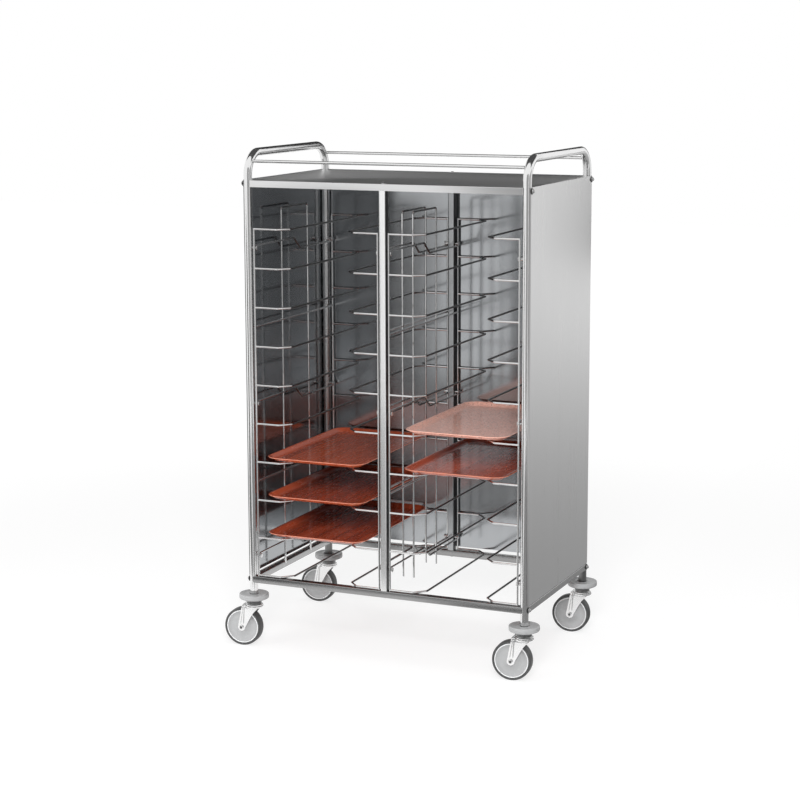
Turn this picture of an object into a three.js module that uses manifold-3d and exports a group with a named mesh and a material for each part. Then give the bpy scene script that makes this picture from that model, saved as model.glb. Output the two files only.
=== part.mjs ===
// Enclosed meal tray cart: a tube frame on four swivel castors, closed at both ends and at the
// back, open at the front, with two bays of wire racks that carry trays one above another.
//
// Millimetres. X runs to the right along the open front, Y runs to the back, Z is up.
// The origin is the point of the floor under the middle of the frame.

import * as THREE from 'three';
import { mergeVertices } from 'three/addons/utils/BufferGeometryUtils.js';
import Module from 'manifold-3d';

// ---------------------------------------------------------------- driving dimensions

// Fits between neighbouring pieces.
const SEAT_GAP = 0.3; // between a piece and the one that it rests against
const BOLT_CLEARANCE = 0.3; // radial, round a bolt or a screw
const WELD_OVERLAP = 0.5; // how far a pin runs into what it is welded to

// End frames: one bent tube each, front post, handle and rear post in one.
const POST_HALF_WIDTH = 441; // post centres from the middle, along X
const POST_HALF_DEPTH = 264; // post centres from the middle, along Y
const TUBE_RADIUS = 12.5;
const TUBE_WALL = 1.5;
const HANDLE_RISE = 80; // centreline of the handle above the shelf
const HANDLE_BEND = 66; // centreline radius of the two bends

// Top shelf: a sheet with its rim folded down.
const SHELF_TOP = 1431;
const SHELF_RIM = 20;
const SHELF_SHEET = 1.5;
const NOTCH_PLAY = 1.5; // between the shelf's corner notches and the posts
const NOTCH_START = -45; // degrees round a post, from the side of the shelf
const NOTCH_END = -225; // degrees round a post, at the front or the rear of the shelf

// Bottom rails: flat tubes between the posts.
const RAIL_HEIGHT = 20;
const RAIL_DEPTH = 25;
const RAIL_WALL = 1.5;
const RAIL_CENTRE_HEIGHT = 211;
const END_BLOCK = 12; // solid end of a rail, a middle post or a shelf corner, for its bolt

// Middle posts: square tubes between the bottom rails and the shelf.
const MIDDLE_POST_SIDE = 24;
const MIDDLE_POST_WALL = 1.5;

// Panels: sheets outside the posts, with their upright edges curled round the posts.
const PANEL_SHEET = 1.2;
const PANEL_STAND = 1; // top of the panels above the shelf
const PANEL_CURL = 43; // degrees that an edge is curled round its post
const SIDE_PANEL_LIFT = 3; // gap above the side rails
const BACK_PANEL_LIFT = 9; // gap above the rear rail

// Guard rods: two thin rods between the handles, above the front and rear of the shelf.
const GUARD_ROD_RADIUS = 4.5;
const GUARD_ROD_DROP = 25; // below the centreline of the handle

// Wire racks.
const WIRE_RADIUS = 3;
const LEVEL_COUNT = 10;
const TOP_LEVEL_DROP = 145; // top level below the shelf's top
const RACK_LIFT = 1; // gap between the bottom level and the bottom rails
const RACK_PROUD = 4; // front and rear uprights beyond the post centres, along Y
const OUTER_RACK_GAP = 7.5; // from an end frame's posts to the plane of the uprights
const INNER_RACK_GAP = 5.3; // from the middle posts to the plane of the uprights
const SUPPORT_STRAIGHT = 75; // first run of a tray wire, away from its uprights
const SUPPORT_REACH = 106; // the tray wire's long run, from the plane of the uprights
const SUPPORT_CORNER = 32; // depth of the slanted corner of a tray wire
const HOOP_HALF_DEPTH = 89; // legs of the hoop that stiffens a rack, along Y
const HOOP_RISE = 50; // top of the hoop above the top level
const HOOP_CORNER = 14;
const HOOP_TAIL = 6; // ends of the hoop below the bottom level
const STRAIGHT_ROD_LEVELS = [2.49, 6.51]; // level pitches below the top level
const HANGING_ROD_LEVELS = [0.42, 4.42, 8.43];
const HANGING_ROD_DROP = 34; // how much lower the rear half of a hanging rod runs
const HANGING_ROD_SLOPE = [-5, 38]; // where the slope starts and ends, along Y

// Pins that the racks hang on, welded to the sides of the posts.
const PIN_RADIUS = 4;
const PIN_HEAD_RADIUS = 7;
const PIN_HEAD_LENGTH = 2.5;
const PIN_SIDE_PLAY = 0.8; // between a rack wire and a pin's head
const PIN_BEHIND_WIRE = 1.5; // between a rack's upright and its pin

// Trays: 530 by 325 gastronorm size, with a low flared rim and a flat lip.
const TRAY_LENGTH = 530;
const TRAY_WIDTH = 325;
const TRAY_HEIGHT = 14;
const TRAY_SHEET = 2.5;
const TRAY_CORNER = 45;
const TRAY_FLARE = 17;
const TRAY_LIP = 5;
const TRAY_CENTRE_DEPTH = -8;
const RED_BROWN = 0x7a3a30;
const GRANITE = 0xa07c72;
const TRAYS = {
  left: [
    { level: 7, shift: -17, colour: RED_BROWN }, // shift from the middle of the bay, along X
    { level: 8, shift: -17, colour: RED_BROWN },
    { level: 9, shift: -17, colour: RED_BROWN },
  ],
  right: [
    { level: 6, shift: 0, colour: GRANITE },
    { level: 7, shift: -4, colour: RED_BROWN },
  ],
};

// Castors.
const WHEEL_RADIUS = 59;
const TYRE_WIDTH = 32;
const TYRE_THICKNESS = 7.5;
const TYRE_EDGE = 4;
const HUB_BOSS_RADIUS = 13;
const HUB_WEB_HALF = 9;
const HUB_RIM_HALF = 14;
const CASTOR_TRAIL = 34.5; // axle behind the swivel axis
const CASTOR_TURN = 5; // degrees that each castor is turned at rest
const FORK_INNER_HALF = 19.5;
const FORK_SHEET = 2.5;
const FORK_FOOT_RADIUS = 12;
const FORK_FOOT_ARC = [190, 360]; // degrees round the axle that the foot's rounding spans
const FORK_BACK = 34; // rear edge of the fork at its crown, behind the swivel axis
const FORK_WEB = [ // hollow front edge of a cheek, as shares of the way from foot to crown
  [0.27, 0.34], // along X, along Z
  [0.54, 0.67],
  [0.82, 0.88],
];
const CROWN_RADIUS = 28.5;
const CROWN_CLEARANCE = 3.5; // above the wheel
const CROWN_SHEET = 3;
const RACE_INNER_RADIUS = 22;
const RACE_HEIGHT = 3.5;
const HEAD_FLANGE_RADIUS = 27.5;
const HEAD_NECK = 4.1; // from the crown up to the flange
const HEAD_FLANGE = 3.6;
const HEAD_COLLAR = 11.1; // from the flange up to the bumper
const HEAD_COLLAR_RADIUS = 15;
const KING_PIN_RADIUS = 6;
const KING_PIN_HEAD_RADIUS = 10;
const KING_PIN_HEAD = 3;
const STEM_BELOW_BOLT = 3; // gap between a castor stem and the bolt above it
const AXLE_RADIUS = 4;
const AXLE_HEAD_RADIUS = 7;
const AXLE_HEAD = 4;

// Bumper discs between the castors and the posts.
const BUMPER_RADIUS = 46;
const BUMPER_FOOT_RADIUS = 30;
const BUMPER_CONE = 7;
const BUMPER_RIM = 15;
const BUMPER_EDGE = 3;
const BUMPER_SOCKET = 8; // depth that a post stands in its bumper

// Fasteners.
const BOLT_RADIUS = 4;
const BOLT_HEAD_RADIUS = 7.5;
const BOLT_COLLAR = 3;
const BOLT_DOME = 5;
const BOLT_SHOULDER = 0.7; // share of a dome's radius and height at which it turns over
const SCREW_RADIUS = 3;
const SCREW_HEAD_RADIUS = 6;
const SCREW_HEAD = 3.5;
const SCREW_BITE = 11; // length of a screw inside a middle post
const SCREW_RECESS = 0.6; // depth of the round seat that a screw's head has in the shelf

// Facets.
const TUBE_SIDES = 12;
const WIRE_SIDES = 5;
const ROD_SIDES = 10;
const BOLT_SIDES = 8;
const HOLE_SIDES = 6;
const WHEEL_SIDES = 24;
const TURNED_SIDES = 16;
const BEND_STEPS = 4;
const CORNER_STEPS = 4;
const CURL_STEPS = 2;
const NOTCH_STEPS = 5;
const SAME_POINT = 1e-4; // under this distance, two corners are one

// ---------------------------------------------------------------- worked out from those

const POST_SIDE = POST_HALF_WIDTH - TUBE_RADIUS;
const POST_FRONT = POST_HALF_DEPTH + TUBE_RADIUS;
const POST_CLEAR_RADIUS = TUBE_RADIUS + SEAT_GAP;
const RAIL_TOP = RAIL_CENTRE_HEIGHT + RAIL_HEIGHT / 2;
const RAIL_BOTTOM = RAIL_CENTRE_HEIGHT - RAIL_HEIGHT / 2;
const RAIL_HALF_WIDTH = POST_SIDE - SEAT_GAP;
const SHELF_UNDERSIDE = SHELF_TOP - SHELF_SHEET;
const SHELF_BOLT_HEIGHT = SHELF_TOP - SHELF_RIM / 2;
const PANEL_INNER_RADIUS = POST_CLEAR_RADIUS;
const PANEL_OUTER_RADIUS = PANEL_INNER_RADIUS + PANEL_SHEET;
const PANEL_TOP = SHELF_TOP + PANEL_STAND;
const MIDDLE_POST_DEPTH = POST_FRONT - SHELF_SHEET - SEAT_GAP - MIDDLE_POST_SIDE / 2;
const RACK_HALF_DEPTH = POST_HALF_DEPTH + RACK_PROUD;
const OUTER_RACK_PLANE = POST_SIDE - OUTER_RACK_GAP;
const INNER_RACK_PLANE = MIDDLE_POST_SIDE / 2 + INNER_RACK_GAP;
const PIN_DEPTH = RACK_HALF_DEPTH - WIRE_RADIUS - PIN_BEHIND_WIRE - PIN_RADIUS;
const PIN_TO_ROD = PIN_RADIUS + WIRE_RADIUS + SEAT_GAP;
const CROWN_BOTTOM = 2 * WHEEL_RADIUS + CROWN_CLEARANCE;
const CROWN_TOP = CROWN_BOTTOM + CROWN_SHEET;
const FLANGE_TOP = CROWN_TOP + SEAT_GAP + HEAD_NECK + HEAD_FLANGE;
const HEAD_TOP = FLANGE_TOP + HEAD_COLLAR;
const BUMPER_BOTTOM = HEAD_TOP + SEAT_GAP;
const BUMPER_TOP = BUMPER_BOTTOM + BUMPER_CONE + BUMPER_RIM;
const POST_FOOT = BUMPER_TOP - BUMPER_SOCKET + SEAT_GAP;
const STEM_RADIUS = TUBE_RADIUS - TUBE_WALL - SEAT_GAP;
const STEM_TOP = RAIL_CENTRE_HEIGHT - BOLT_RADIUS - BOLT_CLEARANCE - STEM_BELOW_BOLT;
const TOP_LEVEL_HEIGHT = SHELF_TOP - TOP_LEVEL_DROP;
const BOTTOM_LEVEL_HEIGHT = RAIL_TOP + RACK_LIFT + WIRE_RADIUS;
const LEVEL_PITCH = (TOP_LEVEL_HEIGHT - BOTTOM_LEVEL_HEIGHT) / (LEVEL_COUNT - 1);
const levelHeight = (level) => TOP_LEVEL_HEIGHT - (level - 1) * LEVEL_PITCH;
const BAY_CENTRE = (OUTER_RACK_PLANE + INNER_RACK_PLANE) / 2;
const HANDLE_HEIGHT = SHELF_TOP + HANDLE_RISE;
const GUARD_ROD_HEIGHT = HANDLE_HEIGHT - GUARD_ROD_DROP;
const GUARD_ROD_REACH = Math.sqrt(HANDLE_BEND ** 2 - (HANDLE_BEND - GUARD_ROD_DROP) ** 2);
const GUARD_ROD_DEPTH = POST_HALF_DEPTH - HANDLE_BEND + GUARD_ROD_REACH;

// ---------------------------------------------------------------- solids

const wasm = await Module();
wasm.setup();

// A geometry as a solid that can be joined and cut.
function toSolid(geometry) {
  const bare = geometry.clone();
  bare.deleteAttribute('normal');
  bare.deleteAttribute('uv');
  const welded = mergeVertices(bare, SAME_POINT);
  return new wasm.Manifold(new wasm.Mesh({
    numProp: 3,
    vertProperties: Float32Array.from(welded.attributes.position.array),
    triVerts: Uint32Array.from(welded.index.array),
  }));
}

// A solid as a geometry.
function toGeometry(solid) {
  const mesh = solid.getMesh();
  const geometry = new THREE.BufferGeometry();
  geometry.setAttribute('position', new THREE.BufferAttribute(mesh.vertProperties, mesh.numProp));
  geometry.setIndex(new THREE.BufferAttribute(mesh.triVerts, 1));
  return geometry;
}

const joined = (geometries) => geometries.map(toSolid).reduce((whole, piece) => whole.add(piece));

// One geometry with the other ones cut out of it.
function cut(geometry, tools) {
  return toGeometry(toSolid(geometry).subtract(joined(tools)));
}

// A path that an extrusion follows station by station, with no points between them.
class StationPath extends THREE.Curve {
  constructor(stations) {
    super();
    this.stations = stations;
  }

  getPointAt(share) {
    const place = share * (this.stations.length - 1);
    const index = Math.min(Math.floor(place), this.stations.length - 2);
    return this.stations[index].clone().lerp(this.stations[index + 1], place - index);
  }

  getPoint(share) {
    return this.getPointAt(share);
  }

  getTangentAt(share) {
    const index = Math.round(share * (this.stations.length - 1));
    const before = this.stations[Math.max(index - 1, 0)];
    const here = this.stations[index];
    const after = this.stations[Math.min(index + 1, this.stations.length - 1)];
    const arriving = here.clone().sub(before).normalize();
    const leaving = after.clone().sub(here).normalize();
    return arriving.add(leaving).normalize();
  }
}

// The corners of a faceted circle.
function ring(radius, sides) {
  return Array.from({ length: sides }, (_, index) => {
    const angle = (2 * Math.PI * index) / sides;
    return new THREE.Vector2(radius * Math.cos(angle), radius * Math.sin(angle));
  });
}

// The corner radius of a faceted bore whose flats still clear a round piece of `radius`.
const boreRadius = (radius, sides) => radius / Math.cos(Math.PI / sides);

// A tube or a rod along its stations.
function alongPath(stations, outerRadius, sides, innerRadius = 0) {
  const section = new THREE.Shape(ring(outerRadius, sides));
  if (innerRadius > 0) {
    section.holes.push(new THREE.Path(ring(boreRadius(innerRadius, sides), sides)));
  }
  const extrudePath = new StationPath(stations);
  return new THREE.ExtrudeGeometry(section, { steps: stations.length - 1, extrudePath });
}

// A straight round bar between two points.
const bar = (from, to, radius, sides) => alongPath([from, to], radius, sides);

// A cutter for a hole that a round piece of `radius` passes, with the bolts' clearance.
function drill(from, to, radius, sides = HOLE_SIDES) {
  return bar(from, to, boreRadius(radius + BOLT_CLEARANCE, sides), sides);
}

// A box between two opposite corners.
function boxBetween(low, high) {
  const size = high.clone().sub(low);
  const geometry = new THREE.BoxGeometry(size.x, size.y, size.z);
  const middle = low.clone().add(high).multiplyScalar(0.5);
  return geometry.translate(middle.x, middle.y, middle.z);
}

// An upright prism over a plan outline.
function prism(outline, bottom, top) {
  const shape = new THREE.Shape(outline);
  const geometry = new THREE.ExtrudeGeometry(shape, { depth: top - bottom, bevelEnabled: false });
  return geometry.translate(0, 0, bottom);
}

// A turned piece about Z, from its profile of radius and height, listed anticlockwise.
function turned(profile, sides = TURNED_SIDES) {
  const points = profile.map(([radius, height]) => new THREE.Vector2(radius, height));
  return new THREE.LatheGeometry(points, sides).rotateX(Math.PI / 2);
}

// Points of an arc, both ends included.
function arc(centreX, centreY, radius, startDegrees, endDegrees, steps) {
  return Array.from({ length: steps + 1 }, (_, index) => {
    const share = index / steps;
    const angle = THREE.MathUtils.degToRad(startDegrees + (endDegrees - startDegrees) * share);
    const x = centreX + radius * Math.cos(angle);
    const y = centreY + radius * Math.sin(angle);
    return new THREE.Vector2(x, y);
  });
}

// ---------------------------------------------------------------- materials and assembly

const cart = new THREE.Group();

function steel(colour, roughness) {
  return new THREE.MeshStandardMaterial({ color: colour, roughness, metalness: 1 });
}

function plastic(colour, roughness) {
  return new THREE.MeshStandardMaterial({ color: colour, roughness, metalness: 0 });
}

function place(name, geometry, material, parent = cart) {
  const mesh = new THREE.Mesh(geometry, material);
  mesh.name = name;
  parent.add(mesh);
}

const SIDES = [
  { name: 'left', sign: -1 },
  { name: 'right', sign: 1 },
];
const ENDS = [
  { name: 'front', sign: -1 },
  { name: 'rear', sign: 1 },
];
const vec = (x, y, z) => new THREE.Vector3(x, y, z);

// ---------------------------------------------------------------- hanging pins

// Heights of the pins under the front ends, or over the rear ends, of the hanging rods.
function pinHeights(end) {
  return HANGING_ROD_LEVELS.map((level) => {
    const rod = TOP_LEVEL_HEIGHT - level * LEVEL_PITCH;
    return end.sign < 0 ? rod - PIN_TO_ROD : rod - HANGING_ROD_DROP + PIN_TO_ROD;
  });
}

// A pin with its head: it starts inside the post at `root` and passes the rack's plane.
function pin(root, rackPlane, depth, height) {
  const outward = Math.sign(rackPlane - root);
  const neck = rackPlane + outward * (WIRE_RADIUS + PIN_SIDE_PLAY);
  const shankEnd = neck + outward * WELD_OVERLAP;
  const shank = bar(vec(root, depth, height), vec(shankEnd, depth, height), PIN_RADIUS, HOLE_SIDES);
  const tip = neck + outward * PIN_HEAD_LENGTH;
  const head = bar(vec(neck, depth, height), vec(tip, depth, height), PIN_HEAD_RADIUS, HOLE_SIDES);
  return [shank, head];
}

// ---------------------------------------------------------------- end frames

function endFrame(side) {
  const x = side.sign * POST_HALF_WIDTH;
  const bend = (centreDepth, start, finish) => arc(
    centreDepth, HANDLE_HEIGHT - HANDLE_BEND, HANDLE_BEND, start, finish, BEND_STEPS,
  );
  const plan = [
    new THREE.Vector2(-POST_HALF_DEPTH, POST_FOOT),
    ...bend(-POST_HALF_DEPTH + HANDLE_BEND, 180, 90),
    ...bend(POST_HALF_DEPTH - HANDLE_BEND, 90, 0),
    new THREE.Vector2(POST_HALF_DEPTH, POST_FOOT),
  ];
  const stations = plan.map((point) => vec(x, point.x, point.y));
  const tube = alongPath(stations, TUBE_RADIUS, TUBE_SIDES, TUBE_RADIUS - TUBE_WALL);
  const pinRoot = side.sign * (POST_SIDE + TUBE_WALL + WELD_OVERLAP);
  const pins = ENDS.flatMap((end) => pinHeights(end).flatMap(
    (height) => pin(pinRoot, side.sign * OUTER_RACK_PLANE, end.sign * PIN_DEPTH, height),
  ));
  const holes = ENDS.flatMap((end) => [RAIL_CENTRE_HEIGHT, SHELF_BOLT_HEIGHT].map((height) => drill(
    vec(x - 2 * TUBE_RADIUS, end.sign * POST_HALF_DEPTH, height),
    vec(x + 2 * TUBE_RADIUS, end.sign * POST_HALF_DEPTH, height),
    BOLT_RADIUS,
  )));
  return toGeometry(joined([tube, ...pins]).subtract(joined(holes)));
}

const POLISHED = 0xd9d9d6;
for (const side of SIDES) {
  place(`end_frame_${side.name}`, endFrame(side), steel(POLISHED, 0.18));
}

// ---------------------------------------------------------------- bottom rails

// A front or rear rail: hollow, with solid ends that its bolts screw into.
function crossRail(end) {
  const y = end.sign * POST_HALF_DEPTH;
  const outer = boxBetween(
    vec(-RAIL_HALF_WIDTH, y - RAIL_DEPTH / 2, RAIL_BOTTOM),
    vec(RAIL_HALF_WIDTH, y + RAIL_DEPTH / 2, RAIL_TOP),
  );
  const hollowEnd = RAIL_HALF_WIDTH - END_BLOCK;
  const hollow = boxBetween(
    vec(-hollowEnd, y - RAIL_DEPTH / 2 + RAIL_WALL, RAIL_BOTTOM + RAIL_WALL),
    vec(hollowEnd, y + RAIL_DEPTH / 2 - RAIL_WALL, RAIL_TOP - RAIL_WALL),
  );
  const boltHole = drill(
    vec(-POST_HALF_WIDTH, y, RAIL_CENTRE_HEIGHT), vec(POST_HALF_WIDTH, y, RAIL_CENTRE_HEIGHT), BOLT_RADIUS,
  );
  const screwDepth = end.sign * MIDDLE_POST_DEPTH;
  const screwHole = drill(
    vec(0, screwDepth, RAIL_BOTTOM - RAIL_HEIGHT), vec(0, screwDepth, RAIL_TOP + RAIL_HEIGHT), SCREW_RADIUS,
  );
  return cut(outer, [hollow, boltHole, screwHole]);
}

// A side rail: a tube, open at both ends and welded to its two posts.
function sideRail(side) {
  const x = side.sign * POST_HALF_WIDTH;
  const halfLength = POST_HALF_DEPTH - POST_CLEAR_RADIUS;
  const outer = boxBetween(
    vec(x - RAIL_DEPTH / 2, -halfLength, RAIL_BOTTOM),
    vec(x + RAIL_DEPTH / 2, halfLength, RAIL_TOP),
  );
  const hollow = boxBetween(
    vec(x - RAIL_DEPTH / 2 + RAIL_WALL, -POST_FRONT, RAIL_BOTTOM + RAIL_WALL),
    vec(x + RAIL_DEPTH / 2 - RAIL_WALL, POST_FRONT, RAIL_TOP - RAIL_WALL),
  );
  return cut(outer, [hollow]);
}

for (const end of ENDS) {
  place(`${end.name}_bottom_rail`, crossRail(end), steel(POLISHED, 0.3));
}
for (const side of SIDES) {
  place(`${side.name}_bottom_rail`, sideRail(side), steel(POLISHED, 0.3));
}

// ---------------------------------------------------------------- middle posts

function middlePost(end) {
  const y = end.sign * MIDDLE_POST_DEPTH;
  const half = MIDDLE_POST_SIDE / 2;
  const bottom = RAIL_TOP + SEAT_GAP;
  const top = SHELF_UNDERSIDE - SEAT_GAP;
  const outer = boxBetween(vec(-half, y - half, bottom), vec(half, y + half, top));
  const inside = half - MIDDLE_POST_WALL;
  const hollow = boxBetween(
    vec(-inside, y - inside, bottom + END_BLOCK),
    vec(inside, y + inside, top - END_BLOCK),
  );
  const screwHole = drill(vec(0, y, bottom - END_BLOCK), vec(0, y, top + END_BLOCK), SCREW_RADIUS);
  const pinRoot = half - MIDDLE_POST_WALL / 2;
  const pins = SIDES.flatMap((side) => pinHeights(end).flatMap((height) => pin(
    side.sign * pinRoot, side.sign * INNER_RACK_PLANE, end.sign * PIN_DEPTH, height,
  )));
  return toGeometry(toSolid(outer).subtract(joined([hollow, screwHole])).add(joined(pins)));
}

for (const end of ENDS) {
  place(`${end.name}_middle_post`, middlePost(end), steel(POLISHED, 0.3));
}

// ---------------------------------------------------------------- top shelf

// The plan of the shelf, drawn in by `inset` all round, with its corners hollowed for the posts.
function shelfOutline(inset) {
  const outerX = POST_HALF_WIDTH + PANEL_INNER_RADIUS - SEAT_GAP - inset;
  const outerY = POST_FRONT - inset;
  const radius = TUBE_RADIUS + NOTCH_PLAY + inset;
  const quarter = [
    new THREE.Vector2(outerX, POST_HALF_DEPTH - radius),
    ...arc(POST_HALF_WIDTH, POST_HALF_DEPTH, radius, NOTCH_START, NOTCH_END, NOTCH_STEPS),
    new THREE.Vector2(POST_HALF_WIDTH - radius, outerY),
  ];
  const mirrored = (signX, signY) => quarter.map(
    (point) => new THREE.Vector2(signX * point.x, signY * point.y),
  );
  return [...quarter, ...mirrored(-1, 1).reverse(), ...mirrored(-1, -1), ...mirrored(1, -1).reverse()];
}

function topShelf() {
  const rimBottom = SHELF_TOP - SHELF_RIM;
  const sheet = toSolid(prism(shelfOutline(0), rimBottom, SHELF_TOP));
  const under = toSolid(prism(shelfOutline(SHELF_SHEET), rimBottom - 1, SHELF_UNDERSIDE));
  const blockEnd = POST_SIDE - NOTCH_PLAY - SHELF_SHEET / 2;
  const blocks = [];
  const holes = [];
  for (const end of ENDS) {
    const screwDepth = end.sign * MIDDLE_POST_DEPTH;
    holes.push(drill(
      vec(0, screwDepth, SHELF_UNDERSIDE - SHELF_RIM),
      vec(0, screwDepth, SHELF_TOP + SHELF_RIM),
      SCREW_RADIUS,
    ));
    holes.push(drill(
      vec(0, screwDepth, SHELF_TOP - SCREW_RECESS),
      vec(0, screwDepth, SHELF_TOP + SHELF_RIM),
      SCREW_HEAD_RADIUS,
    ));
    const y = end.sign * POST_HALF_DEPTH;
    const reach = TUBE_RADIUS - SHELF_SHEET / 2;
    for (const side of SIDES) {
      const near = side.sign * blockEnd;
      const far = side.sign * (blockEnd - END_BLOCK);
      blocks.push(boxBetween(
        vec(Math.min(near, far), y - reach, rimBottom + SHELF_SHEET),
        vec(Math.max(near, far), y + reach, SHELF_TOP - SHELF_SHEET / 2),
      ));
      holes.push(drill(
        vec(side.sign * (blockEnd - 2 * END_BLOCK), y, SHELF_BOLT_HEIGHT),
        vec(side.sign * POST_HALF_WIDTH, y, SHELF_BOLT_HEIGHT),
        BOLT_RADIUS,
      ));
    }
  }
  return toGeometry(sheet.subtract(under).add(joined(blocks)).subtract(joined(holes)));
}

place('top_shelf', topShelf(), steel(0xa9a9a6, 0.35));

// ---------------------------------------------------------------- panels

// A sheet whose two upright edges curl round the posts at (far, -halfSpan) and (far, halfSpan).
function curledSheet(far, halfSpan) {
  const outer = [
    ...arc(far, -halfSpan, PANEL_OUTER_RADIUS, -PANEL_CURL, 0, CURL_STEPS),
    ...arc(far, halfSpan, PANEL_OUTER_RADIUS, 0, PANEL_CURL, CURL_STEPS),
  ];
  const inner = [
    ...arc(far, halfSpan, PANEL_INNER_RADIUS, PANEL_CURL, 0, CURL_STEPS),
    ...arc(far, -halfSpan, PANEL_INNER_RADIUS, 0, -PANEL_CURL, CURL_STEPS),
  ];
  return [...outer, ...inner];
}

function sidePanel(side) {
  const sheet = prism(
    curledSheet(POST_HALF_WIDTH, POST_HALF_DEPTH), RAIL_TOP + SIDE_PANEL_LIFT, PANEL_TOP,
  );
  const holes = ENDS.map((end) => drill(
    vec(POST_HALF_WIDTH, end.sign * POST_HALF_DEPTH, SHELF_BOLT_HEIGHT),
    vec(POST_HALF_WIDTH + 2 * PANEL_OUTER_RADIUS, end.sign * POST_HALF_DEPTH, SHELF_BOLT_HEIGHT),
    BOLT_RADIUS,
  ));
  const geometry = cut(sheet, holes);
  return side.sign > 0 ? geometry : geometry.rotateZ(Math.PI);
}

function backPanel() {
  const outline = curledSheet(POST_HALF_DEPTH, POST_HALF_WIDTH);
  return prism(outline, RAIL_TOP + BACK_PANEL_LIFT, PANEL_TOP).rotateZ(Math.PI / 2);
}

for (const side of SIDES) {
  place(`${side.name}_side_panel`, sidePanel(side), steel(0xb4b4b1, 0.35));
}
place('back_panel', backPanel(), steel(0xa0a3a4, 0.35));

// ---------------------------------------------------------------- guard rods

for (const end of ENDS) {
  const y = end.sign * GUARD_ROD_DEPTH;
  const rod = bar(
    vec(-POST_SIDE + SEAT_GAP, y, GUARD_ROD_HEIGHT),
    vec(POST_SIDE - SEAT_GAP, y, GUARD_ROD_HEIGHT),
    GUARD_ROD_RADIUS,
    ROD_SIDES,
  );
  place(`${end.name}_guard_rod`, rod, steel(POLISHED, 0.2));
}

// ---------------------------------------------------------------- wire racks

// One welded rack: its uprights stand at `plane`, and its tray wires reach towards `reach`.
function rack(plane, reach) {
  const wire = (stations) => alongPath(stations, WIRE_RADIUS, WIRE_SIDES);
  const wires = ENDS.map((end) => wire([
    vec(plane, end.sign * RACK_HALF_DEPTH, BOTTOM_LEVEL_HEIGHT - WIRE_RADIUS),
    vec(plane, end.sign * RACK_HALF_DEPTH, TOP_LEVEL_HEIGHT + WIRE_RADIUS),
  ]));
  const near = plane + reach * SUPPORT_STRAIGHT;
  const far = plane + reach * SUPPORT_REACH;
  for (let level = 1; level <= LEVEL_COUNT; level += 1) {
    const z = levelHeight(level);
    wires.push(wire([
      vec(plane, -RACK_HALF_DEPTH, z),
      vec(near, -RACK_HALF_DEPTH, z),
      vec(far, -RACK_HALF_DEPTH + SUPPORT_CORNER, z),
      vec(far, RACK_HALF_DEPTH - SUPPORT_CORNER, z),
      vec(near, RACK_HALF_DEPTH, z),
      vec(plane, RACK_HALF_DEPTH, z),
    ]));
  }
  const hoopTop = TOP_LEVEL_HEIGHT + HOOP_RISE;
  wires.push(wire([
    vec(plane, -HOOP_HALF_DEPTH, BOTTOM_LEVEL_HEIGHT - HOOP_TAIL),
    vec(plane, -HOOP_HALF_DEPTH, hoopTop - HOOP_CORNER),
    vec(plane, -HOOP_HALF_DEPTH + HOOP_CORNER, hoopTop),
    vec(plane, HOOP_HALF_DEPTH - HOOP_CORNER, hoopTop),
    vec(plane, HOOP_HALF_DEPTH, hoopTop - HOOP_CORNER),
    vec(plane, HOOP_HALF_DEPTH, BOTTOM_LEVEL_HEIGHT - HOOP_TAIL),
  ]));
  for (const level of STRAIGHT_ROD_LEVELS) {
    const z = TOP_LEVEL_HEIGHT - level * LEVEL_PITCH;
    wires.push(wire([vec(plane, -RACK_HALF_DEPTH, z), vec(plane, RACK_HALF_DEPTH, z)]));
  }
  for (const level of HANGING_ROD_LEVELS) {
    const z = TOP_LEVEL_HEIGHT - level * LEVEL_PITCH;
    wires.push(wire([
      vec(plane, -RACK_HALF_DEPTH, z),
      vec(plane, HANGING_ROD_SLOPE[0], z),
      vec(plane, HANGING_ROD_SLOPE[1], z - HANGING_ROD_DROP),
      vec(plane, RACK_HALF_DEPTH, z - HANGING_ROD_DROP),
    ]));
  }
  return toGeometry(joined(wires));
}

for (const side of SIDES) {
  const outer = rack(side.sign * OUTER_RACK_PLANE, -side.sign);
  place(`${side.name}_bay_outer_rack`, outer, steel(0xe4e4e2, 0.2));
  const inner = rack(side.sign * INNER_RACK_PLANE, side.sign);
  place(`${side.name}_bay_inner_rack`, inner, steel(0xe4e4e2, 0.2));
}

// ---------------------------------------------------------------- trays

// A rounded rectangle round the tray's centre, drawn in by `inset`.
function trayLoop(inset) {
  const radius = TRAY_CORNER - inset;
  const x = TRAY_WIDTH / 2 - TRAY_CORNER;
  const y = TRAY_LENGTH / 2 - TRAY_CORNER;
  return [
    ...arc(x, y, radius, 0, 90, CORNER_STEPS),
    ...arc(-x, y, radius, 90, 180, CORNER_STEPS),
    ...arc(-x, -y, radius, 180, 270, CORNER_STEPS),
    ...arc(x, -y, radius, 270, 360, CORNER_STEPS),
  ];
}

// A closed skin over loops of equally many points: from one end's middle to the other's.
function loft(loops) {
  const count = loops[0].points.length;
  const positions = [0, 0, loops[0].height];
  for (const { points, height } of loops) {
    for (const point of points) {
      positions.push(point.x, point.y, height);
    }
  }
  positions.push(0, 0, loops[loops.length - 1].height);
  const corner = (loop, index) => 1 + loop * count + (index % count);
  const last = 1 + loops.length * count;
  const indices = [];
  for (let index = 0; index < count; index += 1) {
    indices.push(0, corner(0, index + 1), corner(0, index));
    for (let loop = 0; loop + 1 < loops.length; loop += 1) {
      const [a, b] = [corner(loop, index), corner(loop, index + 1)];
      const [c, d] = [corner(loop + 1, index), corner(loop + 1, index + 1)];
      indices.push(a, b, d, a, d, c);
    }
    indices.push(last, corner(loops.length - 1, index), corner(loops.length - 1, index + 1));
  }
  const geometry = new THREE.BufferGeometry();
  geometry.setAttribute('position', new THREE.Float32BufferAttribute(positions, 3));
  geometry.setIndex(indices);
  return geometry;
}

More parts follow.
